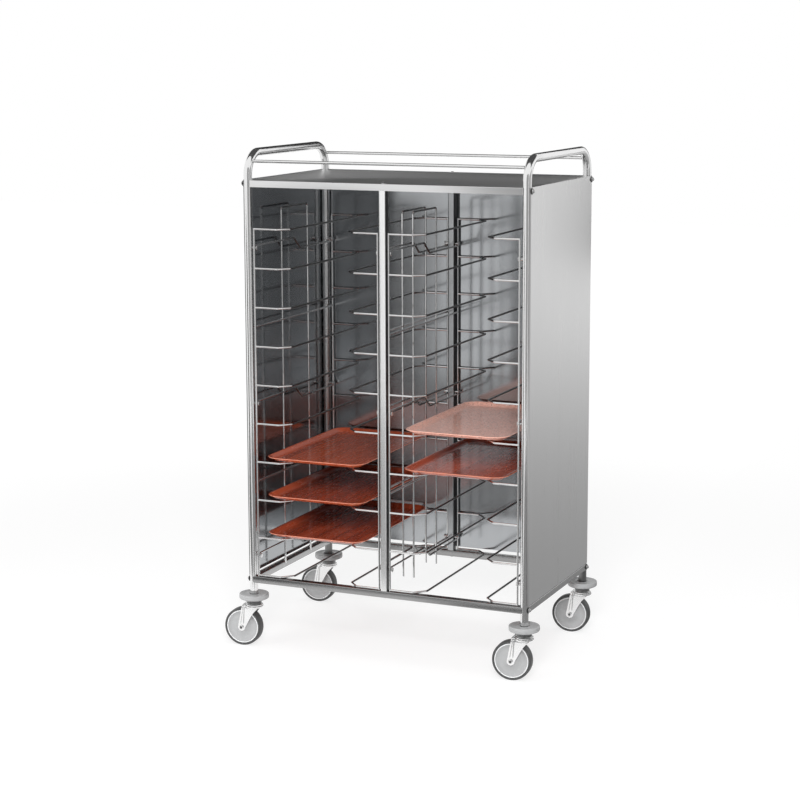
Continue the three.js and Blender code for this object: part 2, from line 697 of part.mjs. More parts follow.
function tray() {
  return loft([
    { points: trayLoop(TRAY_LIP + TRAY_FLARE), height: 0 },
    { points: trayLoop(TRAY_LIP), height: TRAY_HEIGHT - TRAY_SHEET },
    { points: trayLoop(0), height: TRAY_HEIGHT - TRAY_SHEET },
    { points: trayLoop(0), height: TRAY_HEIGHT },
    { points: trayLoop(TRAY_LIP + TRAY_SHEET / 2), height: TRAY_HEIGHT },
    { points: trayLoop(TRAY_LIP + TRAY_FLARE + TRAY_SHEET / 2), height: TRAY_SHEET },
  ]);
}

for (const side of SIDES) {
  for (const { level, shift, colour } of TRAYS[side.name]) {
    const seat = levelHeight(level) + WIRE_RADIUS + SEAT_GAP;
    const geometry = tray().translate(side.sign * BAY_CENTRE + shift, TRAY_CENTRE_DEPTH, seat);
    place(`${side.name}_tray_level_${level}`, geometry, plastic(colour, 0.25));
  }
}

// ---------------------------------------------------------------- castors

// Each piece is drawn about the swivel axis with its wheel behind it, along -X.

function bumper() {
  const coneTop = BUMPER_BOTTOM + BUMPER_CONE;
  const socket = BUMPER_TOP - BUMPER_SOCKET;
  const hole = boreRadius(STEM_RADIUS + SEAT_GAP, TURNED_SIDES);
  const postHole = boreRadius(POST_CLEAR_RADIUS, TURNED_SIDES);
  return turned([
    [hole, BUMPER_BOTTOM],
    [BUMPER_FOOT_RADIUS, BUMPER_BOTTOM],
    [BUMPER_RADIUS - BUMPER_EDGE, coneTop],
    [BUMPER_RADIUS, coneTop + BUMPER_EDGE],
    [BUMPER_RADIUS, BUMPER_TOP - BUMPER_EDGE],
    [BUMPER_RADIUS - BUMPER_EDGE, BUMPER_TOP],
    [postHole, BUMPER_TOP],
    [postHole, socket],
    [hole, socket],
    [hole, BUMPER_BOTTOM],
  ]);
}

function swivelHead() {
  const neckBottom = CROWN_TOP + SEAT_GAP;
  const flangeBottom = neckBottom + HEAD_NECK;
  const pinHeadTop = CROWN_BOTTOM - SEAT_GAP;
  return turned([
    [0, pinHeadTop - KING_PIN_HEAD],
    [KING_PIN_HEAD_RADIUS, pinHeadTop - KING_PIN_HEAD],
    [KING_PIN_HEAD_RADIUS, pinHeadTop],
    [KING_PIN_RADIUS, pinHeadTop],
    [KING_PIN_RADIUS, neckBottom],
    [RACE_INNER_RADIUS - SEAT_GAP, neckBottom],
    [RACE_INNER_RADIUS - SEAT_GAP, flangeBottom],
    [HEAD_FLANGE_RADIUS, flangeBottom],
    [HEAD_FLANGE_RADIUS, FLANGE_TOP],
    [HEAD_COLLAR_RADIUS, FLANGE_TOP],
    [HEAD_COLLAR_RADIUS, HEAD_TOP],
    [STEM_RADIUS, HEAD_TOP],
    [STEM_RADIUS, STEM_TOP],
    [0, STEM_TOP],
  ]);
}

function fork() {
  const raceBore = boreRadius(RACE_INNER_RADIUS, TURNED_SIDES);
  const crown = turned([
    [0, CROWN_BOTTOM],
    [CROWN_RADIUS, CROWN_BOTTOM],
    [CROWN_RADIUS, CROWN_TOP + RACE_HEIGHT],
    [raceBore, CROWN_TOP + RACE_HEIGHT],
    [raceBore, CROWN_TOP],
    [0, CROWN_TOP],
  ]);
  const topHalf = Math.sqrt(CROWN_RADIUS ** 2 - FORK_INNER_HALF ** 2);
  const foot = arc(-CASTOR_TRAIL, WHEEL_RADIUS, FORK_FOOT_RADIUS, ...FORK_FOOT_ARC, CORNER_STEPS);
  const heel = foot[foot.length - 1];
  const web = FORK_WEB.map(([along, up]) => new THREE.Vector2(
    THREE.MathUtils.lerp(heel.x, topHalf, along),
    THREE.MathUtils.lerp(heel.y, CROWN_BOTTOM, up),
  ));
  const outline = [
    ...foot,
    ...web,
    new THREE.Vector2(topHalf, CROWN_BOTTOM),
    new THREE.Vector2(topHalf, CROWN_TOP),
    new THREE.Vector2(-FORK_BACK, CROWN_TOP),
  ];
  const cheek = new THREE.ExtrudeGeometry(
    new THREE.Shape(outline), { depth: FORK_SHEET, bevelEnabled: false },
  ).rotateX(Math.PI / 2);
  const cheeks = [
    cheek.clone().translate(0, -FORK_INNER_HALF, 0),
    cheek.clone().translate(0, FORK_INNER_HALF + FORK_SHEET, 0),
  ];
  const saddle = boxBetween(
    vec(-FORK_BACK, -FORK_INNER_HALF - FORK_SHEET / 2, CROWN_BOTTOM),
    vec(topHalf, FORK_INNER_HALF + FORK_SHEET / 2, CROWN_TOP),
  );
  const pinHole = drill(
    vec(0, 0, CROWN_BOTTOM - CROWN_SHEET), vec(0, 0, CROWN_TOP + CROWN_SHEET), KING_PIN_RADIUS, ROD_SIDES,
  );
  const axleHole = drill(
    vec(-CASTOR_TRAIL, -2 * FORK_INNER_HALF, WHEEL_RADIUS),
    vec(-CASTOR_TRAIL, 2 * FORK_INNER_HALF, WHEEL_RADIUS),
    AXLE_RADIUS,
    ROD_SIDES,
  );
  return toGeometry(joined([crown, saddle, ...cheeks]).subtract(joined([pinHole, axleHole])));
}

// Lays a piece that was turned about Z on the axle.
const onAxle = (geometry) => geometry.rotateX(Math.PI / 2).translate(-CASTOR_TRAIL, 0, WHEEL_RADIUS);

function axle() {
  const seat = FORK_INNER_HALF + FORK_SHEET + SEAT_GAP;
  return onAxle(turned([
    [0, -seat - AXLE_HEAD],
    [AXLE_HEAD_RADIUS, -seat - AXLE_HEAD],
    [AXLE_HEAD_RADIUS, -seat],
    [AXLE_RADIUS, -seat],
    [AXLE_RADIUS, seat],
    [AXLE_HEAD_RADIUS, seat],
    [AXLE_HEAD_RADIUS, seat + AXLE_HEAD],
    [0, seat + AXLE_HEAD],
  ], ROD_SIDES));
}

function tyre() {
  const half = TYRE_WIDTH / 2;
  const inner = WHEEL_RADIUS - TYRE_THICKNESS;
  return onAxle(turned([
    [inner, -half + TYRE_EDGE / 2],
    [WHEEL_RADIUS - TYRE_EDGE, -half],
    [WHEEL_RADIUS, -half + TYRE_EDGE],
    [WHEEL_RADIUS, half - TYRE_EDGE],
    [WHEEL_RADIUS - TYRE_EDGE, half],
    [inner, half - TYRE_EDGE / 2],
    [inner, -half + TYRE_EDGE / 2],
  ], WHEEL_SIDES));
}

function wheelCentre() {
  const bore = boreRadius(AXLE_RADIUS + BOLT_CLEARANCE, WHEEL_SIDES);
  const boss = FORK_INNER_HALF - SEAT_GAP;
  const rim = WHEEL_RADIUS - TYRE_THICKNESS - SEAT_GAP;
  return onAxle(turned([
    [bore, -boss],
    [HUB_BOSS_RADIUS, -boss],
    [HUB_BOSS_RADIUS, -HUB_WEB_HALF],
    [rim, -HUB_RIM_HALF],
    [rim, HUB_RIM_HALF],
    [HUB_BOSS_RADIUS, HUB_WEB_HALF],
    [HUB_BOSS_RADIUS, boss],
    [bore, boss],
    [bore, -boss],
  ], WHEEL_SIDES));
}

for (const side of SIDES) {
  for (const end of ENDS) {
    const castor = new THREE.Group();
    castor.position.set(side.sign * POST_HALF_WIDTH, end.sign * POST_HALF_DEPTH, 0);
    castor.rotation.z = THREE.MathUtils.degToRad(CASTOR_TURN);
    const corner = `${end.name}_${side.name}`;
    place(`${corner}_bumper`, bumper(), plastic(0x9a9c9b, 0.55), castor);
    place(`${corner}_swivel_head`, swivelHead(), steel(0xcfcfcf, 0.25), castor);
    place(`${corner}_fork`, fork(), steel(0xdcdcdc, 0.22), castor);
    place(`${corner}_axle`, axle(), steel(0xcfcfcf, 0.25), castor);
    place(`${corner}_tyre`, tyre(), plastic(0x55585a, 0.7), castor);
    place(`${corner}_wheel_centre`, wheelCentre(), plastic(0x9b9d9e, 0.5), castor);
    cart.add(castor);
  }
}

// ---------------------------------------------------------------- fasteners

// A bolt with a domed head: drawn about Z, with its seat at zero and its shank below.
function domeBolt(shank) {
  return turned([
    [0, -shank],
    [BOLT_RADIUS, -shank],
    [BOLT_RADIUS, 0],
    [BOLT_HEAD_RADIUS, 0],
    [BOLT_HEAD_RADIUS, BOLT_COLLAR],
    [BOLT_HEAD_RADIUS * BOLT_SHOULDER, BOLT_COLLAR + BOLT_DOME * BOLT_SHOULDER],
    [0, BOLT_COLLAR + BOLT_DOME],
  ], BOLT_SIDES);
}

// Bolts run through the posts, into the ends of the front and rear rails and of the shelf.
const boltRows = [
  { name: 'lower', height: RAIL_CENTRE_HEIGHT, seat: POST_HALF_WIDTH + POST_CLEAR_RADIUS },
  { name: 'upper', height: SHELF_BOLT_HEIGHT, seat: POST_HALF_WIDTH + PANEL_OUTER_RADIUS + SEAT_GAP },
];
for (const side of SIDES) {
  for (const end of ENDS) {
    for (const { name, height, seat } of boltRows) {
      const shank = seat - (RAIL_HALF_WIDTH - END_BLOCK);
      const bolt = domeBolt(shank).rotateY((side.sign * Math.PI) / 2);
      bolt.translate(side.sign * seat, end.sign * POST_HALF_DEPTH, height);
      place(`${end.name}_${side.name}_${name}_dome_bolt`, bolt, steel(0xe6e6e4, 0.12));
    }
  }
}

// A screw with a low round head: drawn about Z, with its seat at zero and its shank below.
function postScrew(shank) {
  return turned([
    [0, -shank],
    [SCREW_RADIUS, -shank],
    [SCREW_RADIUS, 0],
    [SCREW_HEAD_RADIUS, 0],
    [SCREW_HEAD_RADIUS, SCREW_HEAD / 2],
    [SCREW_HEAD_RADIUS / 2, SCREW_HEAD],
    [0, SCREW_HEAD],
  ], BOLT_SIDES);
}

// Screws hold the middle posts, one down through the shelf and one up through the rail.
for (const end of ENDS) {
  const y = end.sign * MIDDLE_POST_DEPTH;
  const upper = postScrew(SHELF_SHEET - SCREW_RECESS + 2 * SEAT_GAP + SCREW_BITE);
  upper.translate(0, y, SHELF_TOP - SCREW_RECESS + SEAT_GAP);
  place(`${end.name}_upper_post_screw`, upper, steel(0xe6e6e4, 0.15));
  const lower = postScrew(RAIL_HEIGHT + 2 * SEAT_GAP + SCREW_BITE).rotateX(Math.PI);
  place(`${end.name}_lower_post_screw`, lower.translate(0, y, RAIL_BOTTOM - SEAT_GAP), steel(0xe6e6e4, 0.15));
}

export default cart;
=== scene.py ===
# %% [markdown]
# # An enclosed meal tray cart
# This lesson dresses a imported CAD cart: bent steel tube, folded sheet, welded wire racks, laminate
# trays and rubber castors. The CAD solids are faceted and plain. Each one is replaced by a rounder
# piece with a finish of its own, in exactly the place where the CAD says it is.

import math

import bmesh
import bpy
from mathutils import Matrix, Vector


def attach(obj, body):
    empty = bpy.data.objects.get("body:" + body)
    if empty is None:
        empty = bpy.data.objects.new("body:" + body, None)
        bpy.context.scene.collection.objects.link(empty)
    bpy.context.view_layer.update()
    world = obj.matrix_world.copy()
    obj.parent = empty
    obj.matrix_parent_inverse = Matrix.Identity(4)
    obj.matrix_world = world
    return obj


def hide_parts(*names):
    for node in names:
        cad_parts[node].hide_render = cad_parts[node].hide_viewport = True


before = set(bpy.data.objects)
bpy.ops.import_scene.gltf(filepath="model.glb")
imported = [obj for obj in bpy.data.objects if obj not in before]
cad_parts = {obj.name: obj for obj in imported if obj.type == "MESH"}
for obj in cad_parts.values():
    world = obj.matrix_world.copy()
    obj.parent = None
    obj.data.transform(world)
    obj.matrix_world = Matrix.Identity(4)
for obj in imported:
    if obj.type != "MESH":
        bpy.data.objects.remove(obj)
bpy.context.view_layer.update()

# %% [markdown]
# Blender works in metres and the cart was drawn in millimetres, so the main sizes are repeated
# here once, in metres. Everything below is made from them, so that a piece never has to be moved
# into place afterwards: its place is in its mesh.

# %% Sizes of the cart
POST_X, POST_Y = 0.441, 0.264
TUBE_RADIUS = 0.0125
TUBE_WALL = 0.0015
TUBE_POLISH = 0.0001  # how far the tube's skin here stays inside the CAD's
POST_FOOT = 0.1582
SHELF_TOP = 1.431
SHELF_RIM = 0.020
SHELF_SHEET = 0.0015
HANDLE_HEIGHT = SHELF_TOP + 0.080
HANDLE_BEND = 0.066
GUARD_ROD_DROP, GUARD_ROD_RADIUS = 0.025, 0.0045
GUARD_ROD_HEIGHT = HANDLE_HEIGHT - GUARD_ROD_DROP
GUARD_ROD_Y = POST_Y - HANDLE_BEND + math.sqrt(HANDLE_BEND**2 - (HANDLE_BEND - GUARD_ROD_DROP) ** 2)
RAIL_CENTRE, RAIL_HEIGHT, RAIL_DEPTH, RAIL_CORNER = 0.211, 0.020, 0.025, 0.0025
RAIL_TOP = RAIL_CENTRE + RAIL_HEIGHT / 2
MIDDLE_POST_SIDE, MIDDLE_POST_FACE, MIDDLE_POST_CORNER = 0.024, 0.0205, 0.0022
MIDDLE_POST_Y = 0.2627
PANEL_SHEET, PANEL_TOP = 0.0012, SHELF_TOP + 0.001
PANEL_CURL = 43  # degrees that a sheet's edge is rolled round its post
GAP = 0.0003  # left between pieces that touch
WIRE = 0.003  # radius of the racks' wire
LEVELS = 10
TOP_LEVEL = SHELF_TOP - 0.145
BOTTOM_LEVEL = RAIL_TOP + 0.001 + WIRE
LEVEL_PITCH = (TOP_LEVEL - BOTTOM_LEVEL) / (LEVELS - 1)
RACK_Y = POST_Y + 0.004
OUTER_RACK_X = POST_X - TUBE_RADIUS - 0.0075
INNER_RACK_X = MIDDLE_POST_SIDE / 2 + 0.0053
WHEEL_RADIUS, CASTOR_TRAIL, CASTOR_TURN = 0.059, 0.0345, math.radians(5)
SIDES = {"left": -1, "right": 1}
ENDS = {"front": -1, "rear": 1}
print("level pitch:", round(LEVEL_PITCH * 1000, 2), "mm")

# %% [markdown]
# Most metal here is turned, bent or folded, so a few helpers make nearly every mesh. `skin` joins
# loops of points into a closed skin. It makes turned parts (the loops are circles), trays and
# folded sheets (the loops are rounded outlines), and square tube.

# %% Mesh helpers
SMOOTH_ANGLE = math.radians(34)
TIP_RADIUS = 1e-5  # a turned part closes in a loop this small, not in a point


def shade(mesh):
    """Smooth faces, with a sharp edge wherever two faces meet at more than SMOOTH_ANGLE."""
    mesh.shade_smooth()
    mesh.set_sharp_from_angle(angle=SMOOTH_ANGLE)
    return mesh


def piece_of(name, points, faces):
    mesh = bpy.data.meshes.new(name)
    mesh.from_pydata([tuple(p) for p in points], [], faces)
    mesh.validate()
    shade(mesh)
    made = bpy.data.objects.new(name, mesh)
    bpy.context.scene.collection.objects.link(made)
    return made


def skin(loops, closed=False):
    """Points and faces of a skin over equally long loops. An open skin is closed by its end loops."""
    count = len(loops[0])
    points = [p for loop in loops for p in loop]
    rows = len(loops) if closed else len(loops) - 1
    faces = []
    for row in range(rows):
        here, there = row * count, (row + 1) % len(loops) * count
        for k in range(count):
            after = (k + 1) % count
            faces.append((here + k, here + after, there + after, there + k))
    if not closed:
        faces.append(tuple(range(count))[::-1])
        last = (len(loops) - 1) * count
        faces.append(tuple(range(last, last + count)))
    return points, faces


def circle_loop(radius, height, sides=48):
    radius = max(radius, TIP_RADIUS)
    angles = [math.tau * k / sides for k in range(sides)]
    return [(radius * math.cos(a), radius * math.sin(a), height) for a in angles]


def turned(profile, sides=48):
    """A turned part about Z from (radius, height) pairs, listed from its foot round to its top."""
    closed = profile[0] == profile[-1]
    rims = profile[:-1] if closed else profile
    return skin([circle_loop(radius, height, sides) for radius, height in rims], closed)


def arc(centre, radius, start, end, steps):
    """Points of an arc in a plane, angles in degrees, both ends included."""
    angles = [math.radians(start + (end - start) * k / steps) for k in range(steps + 1)]
    return [(centre[0] + radius * math.cos(a), centre[1] + radius * math.sin(a)) for a in angles]


def corner_arcs(x, y, radius, steps):
    """The four rounded corners of a rectangle: arcs about (x, y) and its mirror images."""
    centres = (x, y), (-x, y), (-x, -y), (x, -y)
    return [arc(centre, radius, 90 * k, 90 * k + 90, steps) for k, centre in enumerate(centres)]


def rounded(profile, radius, steps):
    """An open profile with its inner corners rounded, for turned parts."""
    out = [profile[0]]
    for before, here, after in zip(profile, profile[1:], profile[2:]):
        a, b, c = Vector(before), Vector(here), Vector(after)
        reach = min(radius, (a - b).length * 0.45, (c - b).length * 0.45)
        first, last = b + (a - b).normalized() * reach, b + (c - b).normalized() * reach
        for k in range(steps + 1):
            t = k / steps
            out.append(tuple(first * (1 - t) ** 2 + b * 2 * t * (1 - t) + last * t**2))
    return [*out, profile[-1]]


def outward(piece):
    """Turns a closed shell's faces outwards."""
    shell = bmesh.new()
    shell.from_mesh(piece.data)
    bmesh.ops.recalc_face_normals(shell, faces=shell.faces)
    shell.to_mesh(piece.data)
    shell.free()
    shade(piece.data)
    return piece


def mark(mesh, attribute, values, kind="FLOAT"):
    """Keeps a value on every point of a mesh, for a finish or a tree to read."""
    field = "vector" if kind == "FLOAT_VECTOR" else "value"
    mesh.attributes.new(attribute, kind, "POINT").data.foreach_set(field, values)


print("helpers are ready")

# %% [markdown]
# A finish is a node tree. Writing shader maths as nodes by hand is slow to read, so a `Wire` wraps
# an output socket and lets `1 - mask * 0.4` build the Math nodes. Every other node comes from
# `Nodes.node`, which takes its type, its settings and its sockets.


# %% Finishes written as expressions
class Wire:
    """An output socket that takes part in Python expressions."""

    def __init__(self, nodes, socket):
        self.nodes, self.socket = nodes, socket

    def maths(self, operation, first, second):
        return self.nodes.node("ShaderNodeMath", {"operation": operation}, {0: first, 1: second})

    def __add__(self, other):
        return self.maths("ADD", self, other)

    def __sub__(self, other):
        return self.maths("SUBTRACT", self, other)

    def __rsub__(self, other):
        return self.maths("SUBTRACT", other, self)

    def __mul__(self, other):
        return self.maths("MULTIPLY", self, other)

    __radd__ = __add__
    __rmul__ = __mul__


class Nodes:
    """A tree of shader nodes, of a finish or of the room, that is written as expressions."""

    def __init__(self, tree):
        self.tree = tree

    def node(self, kind, settings=None, sockets=None, output=0):
        made = self.tree.nodes.new(kind)
        for name, value in (settings or {}).items():
            setattr(made, name, value)
        for name, value in (sockets or {}).items():
            self.feed(made.inputs[name], value)
        return Wire(self, made.outputs[output])

    def feed(self, socket, value):
        if isinstance(value, Wire):
            self.tree.links.new(value.socket, socket)
        else:
            socket.default_value = value

    def seen(self):
        """1 for the rays of the camera, of mirrors and of glass, and 0 for those that only carry light."""
        camera = self.node("ShaderNodeLightPath", output="Is Camera Ray")
        rays = camera.socket.node.outputs
        return camera + Wire(self, rays["Is Glossy Ray"]) + Wire(self, rays["Is Transmission Ray"])


class Finish(Nodes):
    """A material whose varying values are worked out by nodes and whose constants sit on its shader."""

    def __init__(self, name, **constants):
        self.material = bpy.data.materials.new(name)
        self.material.use_nodes = True
        super().__init__(self.material.node_tree)
        self.shader = self.tree.nodes["Principled BSDF"]
        for socket, value in constants.items():
            self.shader.inputs[socket.replace("_", " ")].default_value = value
        self.place = self.node("ShaderNodeTexCoord", output="Object")

    def from_middle(self):
        """How far a point lies from the origin."""
        return self.node("ShaderNodeVectorMath", {"operation": "LENGTH"}, {0: self.place}, "Value")

    def marked(self, attribute):
        """The value that `mark` has put on the mesh, or 0 where it has put none."""
        return self.node("ShaderNodeAttribute", {"attribute_name": attribute}, output="Fac")

    def noise(self, stretch, detail=3, roughness=0.5, offset=(0, 0, 0)):
        """Noise over the object's own coordinates, with how many features a metre holds each way."""
        sockets = {"Vector": self.place, "Scale": stretch, "Location": offset}
        spot = self.node("ShaderNodeMapping", None, sockets)
        sockets = {"Vector": spot, "Scale": 1.0, "Detail": detail, "Roughness": roughness}
        return self.node("ShaderNodeTexNoise", None, sockets)

    def between(self, value, low, high):
        """0 below low, 1 above high, and smooth in between."""
        sockets = {"Value": value, "From Min": low, "From Max": high}
        return self.node("ShaderNodeMapRange", {"interpolation_type": "SMOOTHSTEP"}, sockets)

    def mix(self, factor, first, second):
        first, second = (c if isinstance(c, Wire) else (*c, 1) for c in (first, second))
        return self.node("ShaderNodeMix", {"data_type": "RGBA"}, {0: factor, 6: first, 7: second}, 2)

    def bump(self, height, distance, strength):
        sockets = {"Height": height, "Distance": distance, "Strength": strength}
        self.feed(self.shader.inputs["Normal"], self.node("ShaderNodeBump", None, sockets))

    def set(self, **varying):
        for socket, value in varying.items():
            self.feed(self.shader.inputs[socket.replace("_", " ")], value)


def grey(value, warmth=0.0):
    return (value * (1 + warmth), value, value * (1 - warmth))


print("finishes are ready")

# %% [markdown]
# Brushed stainless steel is a mirror with thousands of fine parallel scratches. The grain runs one
# way, so its noise is stretched: hundreds of streaks a metre across it and only a few along it.
# Each scratch changes how rough the metal is and tilts it a little. Broader soft streaks and faint
# wiping marks keep a large sheet from looking printed.
#
# Polished steel has no grain. A mesh attribute paints shade into it, darker and rougher: painted
# shade inside the cart, on the rack runs that trays slide on, beside the fork's ribs and in the axle
# head's dimple, and a painted dark reflection on the swivel head's neck.


# %% Brushed and polished steel
def brushed(name, tone, roughness, grain, depth=0.00004, spread=0.05, cast=0.0):
    """grain is the axis that the scratches follow: 0, 1 or 2."""
    finish = Finish(name, Metallic=1.0)
    fine, broad = [900.0] * 3, [45.0] * 3
    fine[grain], broad[grain] = 9.0, 0.6
    scratches = finish.noise(fine, detail=4, roughness=0.6)
    streaks = finish.noise(broad, detail=3, roughness=0.5, offset=(3, 7, 11))
    wiped = finish.noise((5.0, 5.0, 3.5), detail=2, offset=(1, 2, 3))
    dark, light = grey(tone - spread, cast), grey(tone + spread, cast)
    finish.set(
        Base_Color=finish.mix(streaks * 0.7 + scratches * 0.3, dark, light),
        Roughness=scratches * 0.10 + streaks * 0.08 + wiped * 0.08 + (roughness - 0.13),
    )
    finish.bump(scratches, depth, 0.5)
    return finish.material


# The near-black colour of painted shade on polished steel.
PAINTED_SHADE_TONE = 0.12


def polished(name, tone, roughness, grain_scale=(260.0, 260.0, 260.0)):
    """Bright steel: nearly a mirror, with polishing marks and haze, and darker where shade is painted on it.
    """
    finish = Finish(name, Metallic=1.0)
    marks = finish.noise(grain_scale, detail=3)
    haze = finish.between(finish.noise((9.0, 9.0, 9.0), detail=3, offset=(4, 4, 4)), 0.45, 0.75)
    # Painted shade: how much of it the mesh marks at each point.
    painted_shade = finish.marked("painted_shade")
    bright = finish.mix(marks * 0.5 + haze * 0.3, grey(tone + 0.03), grey(tone - 0.06))
    finish.set(
        Base_Color=finish.mix(painted_shade, bright, grey(PAINTED_SHADE_TONE)),
        Roughness=marks * 0.05 + haze * 0.08 + painted_shade * 0.25 + (roughness - 0.03),
    )
    finish.bump(marks, 0.00002, 0.3)
    return finish.material


FINISHES = {
    "frame_tube": polished("polished_tube", 0.82, 0.13, (420.0, 420.0, 14.0)),
    # The front and rear rails have a low tone that stands in for darker reflections: painted shade.
    "rail_steel": brushed("shaded_satin_rail_along_x", 0.34, 0.22, 0, spread=0.03),
    "shelf_sheet": brushed("brushed_shelf", 0.78, 0.32, 0, spread=0.07),
    "panel_sheet": brushed("satin_panel", 0.66, 0.30, 2, depth=0.00002, spread=0.012),
    "rack_wire": polished("bright_wire", 0.80, 0.10),
    "castor_steel": polished("bright_pressed_steel", 0.90, 0.15),
    "fastener": polished("bright_fastener", 0.55, 0.08),
}
RAIL_ALONG_Y = brushed("satin_rail_along_y", 0.45, 0.24, 1, spread=0.03)
POST_ALONG_Z = brushed("satin_post_along_z", 0.92, 0.20, 2, spread=0.03)
PAINTED_SHADE_REAR_POST = brushed("painted_shade_rear_post", 0.42, 0.20, 2, spread=0.03, cast=-0.02)
PAINTED_SHADE_POST_SIDE = brushed("painted_shade_post_side", 0.14, 0.34, 2, spread=0.02)
# The inner faces of the sheets: smoother, and a darker tone that paints the shade inside the cart.
SHADED_INNER_SHEET = brushed("smooth_inner_sheet_painted_shade", 0.43, 0.13, 2, depth=0.00001, spread=0.010, cast=-0.03)
DARK_RING_WASHER = polished("painted_dark_ring_washer", 0.035, 0.30)
print("slots with a steel finish:", ", ".join(FINISHES))

# %% [markdown]
# The trays are pressed laminate under a clear glossy skin. The red-brown ones have a streaky wood
# grain along their length: three noises, stretched by different amounts, mix four browns. The pink
# one is a fine granite print: two speckles of different size. A mesh attribute marks the lip's
# outermost points, which are painted lighter and rougher: the pale cut edge of the laminate, and a
# painted highlight along the lip.


# %% Tray laminate
def laminate(name, ground, edge_and_highlight_colour, roughness, gloss):
    finish = Finish(name, Coat_Weight=gloss, Coat_Roughness=0.09, IOR=1.5)
    # The lip's outermost points: the pale cut edge, with a painted highlight along it.
    lip_edge_and_highlight = finish.marked("lip_edge_and_highlight")
    colour, relief = ground(finish)
    scuffs = finish.between(finish.noise((60.0, 14.0, 60.0), detail=5, roughness=0.7), 0.52, 0.8)
    finish.set(
        Base_Color=finish.mix(lip_edge_and_highlight, colour, edge_and_highlight_colour),
        Roughness=scuffs * 0.16 + lip_edge_and_highlight * 0.15 + roughness,
    )
    finish.bump(relief, 0.00006, 0.08)
    return finish.material


def wood_print(finish):
    """Its colour and its relief."""
    slow = finish.noise((3.0, 0.8, 3.0), detail=2, offset=(5, 1, 0))
    grain = finish.noise((70.0, 1.1, 20.0), detail=2, roughness=0.5)
    vein = finish.noise((17.0, 1.1, 9.0), detail=3, roughness=0.55, offset=(9, 3, 2))
    base = finish.mix(finish.between(vein, 0.36, 0.66), (0.370, 0.064, 0.028), (0.540, 0.100, 0.040))
    streaky = finish.mix(finish.between(grain, 0.46, 0.76) * 0.5, base, (0.170, 0.030, 0.018))
    return finish.mix(finish.between(slow, 0.45, 0.7) * 0.35, streaky, (0.56, 0.115, 0.045)), grain


def granite_print(finish):
    cloud = finish.noise((22.0, 22.0, 22.0), detail=3)
    fine = finish.noise((230.0, 230.0, 230.0), detail=3, roughness=0.7)
    dots = finish.noise((120.0, 120.0, 120.0), detail=3, roughness=0.7, offset=(6, 6, 6))
    base = finish.mix(cloud, (0.80, 0.41, 0.32), (0.90, 0.50, 0.41))
    dark = finish.mix(finish.between(fine, 0.53, 0.61) * 0.8, base, (0.30, 0.125, 0.095))
    return finish.mix(finish.between(dots, 0.58, 0.66) * 0.8, dark, (0.97, 0.82, 0.76)), fine


FINISHES["tray_brown"] = laminate("red_brown_laminate", wood_print, (0.66, 0.25, 0.16), 0.26, 0.4)
FINISHES["tray_granite"] = laminate("granite_laminate", granite_print, (0.84, 0.46, 0.36), 0.32, 0.35)
print("laminates: 2")

# %% [markdown]
# Bumpers, tyres and wheel centres are moulded. Moulded parts get their look from a fine orange-peel
# relief, a slow change of tone, and dust: rubber picks it up near the floor and on its tread.


# %% Moulded rubber and plastic
def moulded(name, tone, roughness, dust, dust_tone, coat=0.0, peel=0.00006):
    finish = Finish(name, Coat_Weight=coat, Coat_Roughness=0.25, IOR=1.48)
    skin_relief = finish.noise((700.0, 700.0, 700.0), detail=3)
    slow = finish.noise((28.0, 28.0, 28.0), detail=3, offset=(2, 5, 8))
    dusty = finish.between(finish.noise((75.0, 75.0, 75.0), detail=5, roughness=0.7), 0.5, 0.8)
    plain = finish.mix(slow, grey(tone * 0.90, -0.01), grey(tone * 1.10, -0.01))
    finish.set(
        Base_Color=finish.mix(dusty * dust, plain, grey(dust_tone, 0.02)),
        Roughness=dusty * dust * 0.3 + slow * 0.08 + (roughness - 0.04),
    )
    finish.bump(skin_relief, peel, 0.4)
    return finish.material


FINISHES["bumper"] = moulded("grey_bumper", 0.37, 0.38, 0.20, 0.50, coat=0.3)
FINISHES["tyre"] = moulded("grey_rubber", 0.058, 0.50, 0.40, 0.17, peel=0.0001)
FINISHES["wheel_centre"] = moulded("wheel_plastic", 0.37, 0.26, 0.15, 0.30, coat=0.6)
LIGHT_LIP = moulded("pale_wheel_lip", 0.82, 0.28, 0.12, 0.6, coat=0.3)
print("moulded finishes: 4")

# %% [markdown]
# `dress` says what a piece stands for: its finish, the body that it moves with and the CAD nodes
# that it hides. A piece stays at the origin, and its place is in its mesh.


# %% Dressing a node
def dress(piece, body, slot, *nodes, finish=None):
    piece.data.materials.clear()
    piece.data.materials.append(finish or FINISHES[slot])
    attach(piece, body)
    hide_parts(*nodes)


print("slots to dress:", len(FINISHES))

# %% [markdown]
# Tube, rod and wire are all the same thing to a maker: round stock, bent along a line. One
# Geometry Nodes tree makes them all. It takes bare edges, turns them into curves, rounds their
# corners by the attribute `corner`, and sweeps a circle along them. Lines whose attribute
# `repeated` is set are then copied once for each level of a rack.


# %% A tree for bent round stock
def new_tree(name, inputs):
    tree = bpy.data.node_groups.new(name, "GeometryNodeTree")
    tree.interface.new_socket("Geometry", in_out="OUTPUT", socket_type="NodeSocketGeometry")
    tree.interface.new_socket("Geometry", in_out="INPUT", socket_type="NodeSocketGeometry")
    for label, kind in inputs.items():
        tree.interface.new_socket(label, in_out="INPUT", socket_type="NodeSocket" + kind)
    return tree


def grow(tree, kind, settings=None, **sockets):
    """Adds a node to a geometry tree. A socket value is a number or another node's output."""
    made = tree.nodes.new(kind)
    for name, value in (settings or {}).items():
        setattr(made, name, value)
    for name, value in sockets.items():
        socket = made.inputs[name.replace("_", " ")]
        for one in value if isinstance(value, list) else [value]:
            if isinstance(one, bpy.types.NodeSocket):
                tree.links.new(one, socket)
            else:
                socket.default_value = one
    return made


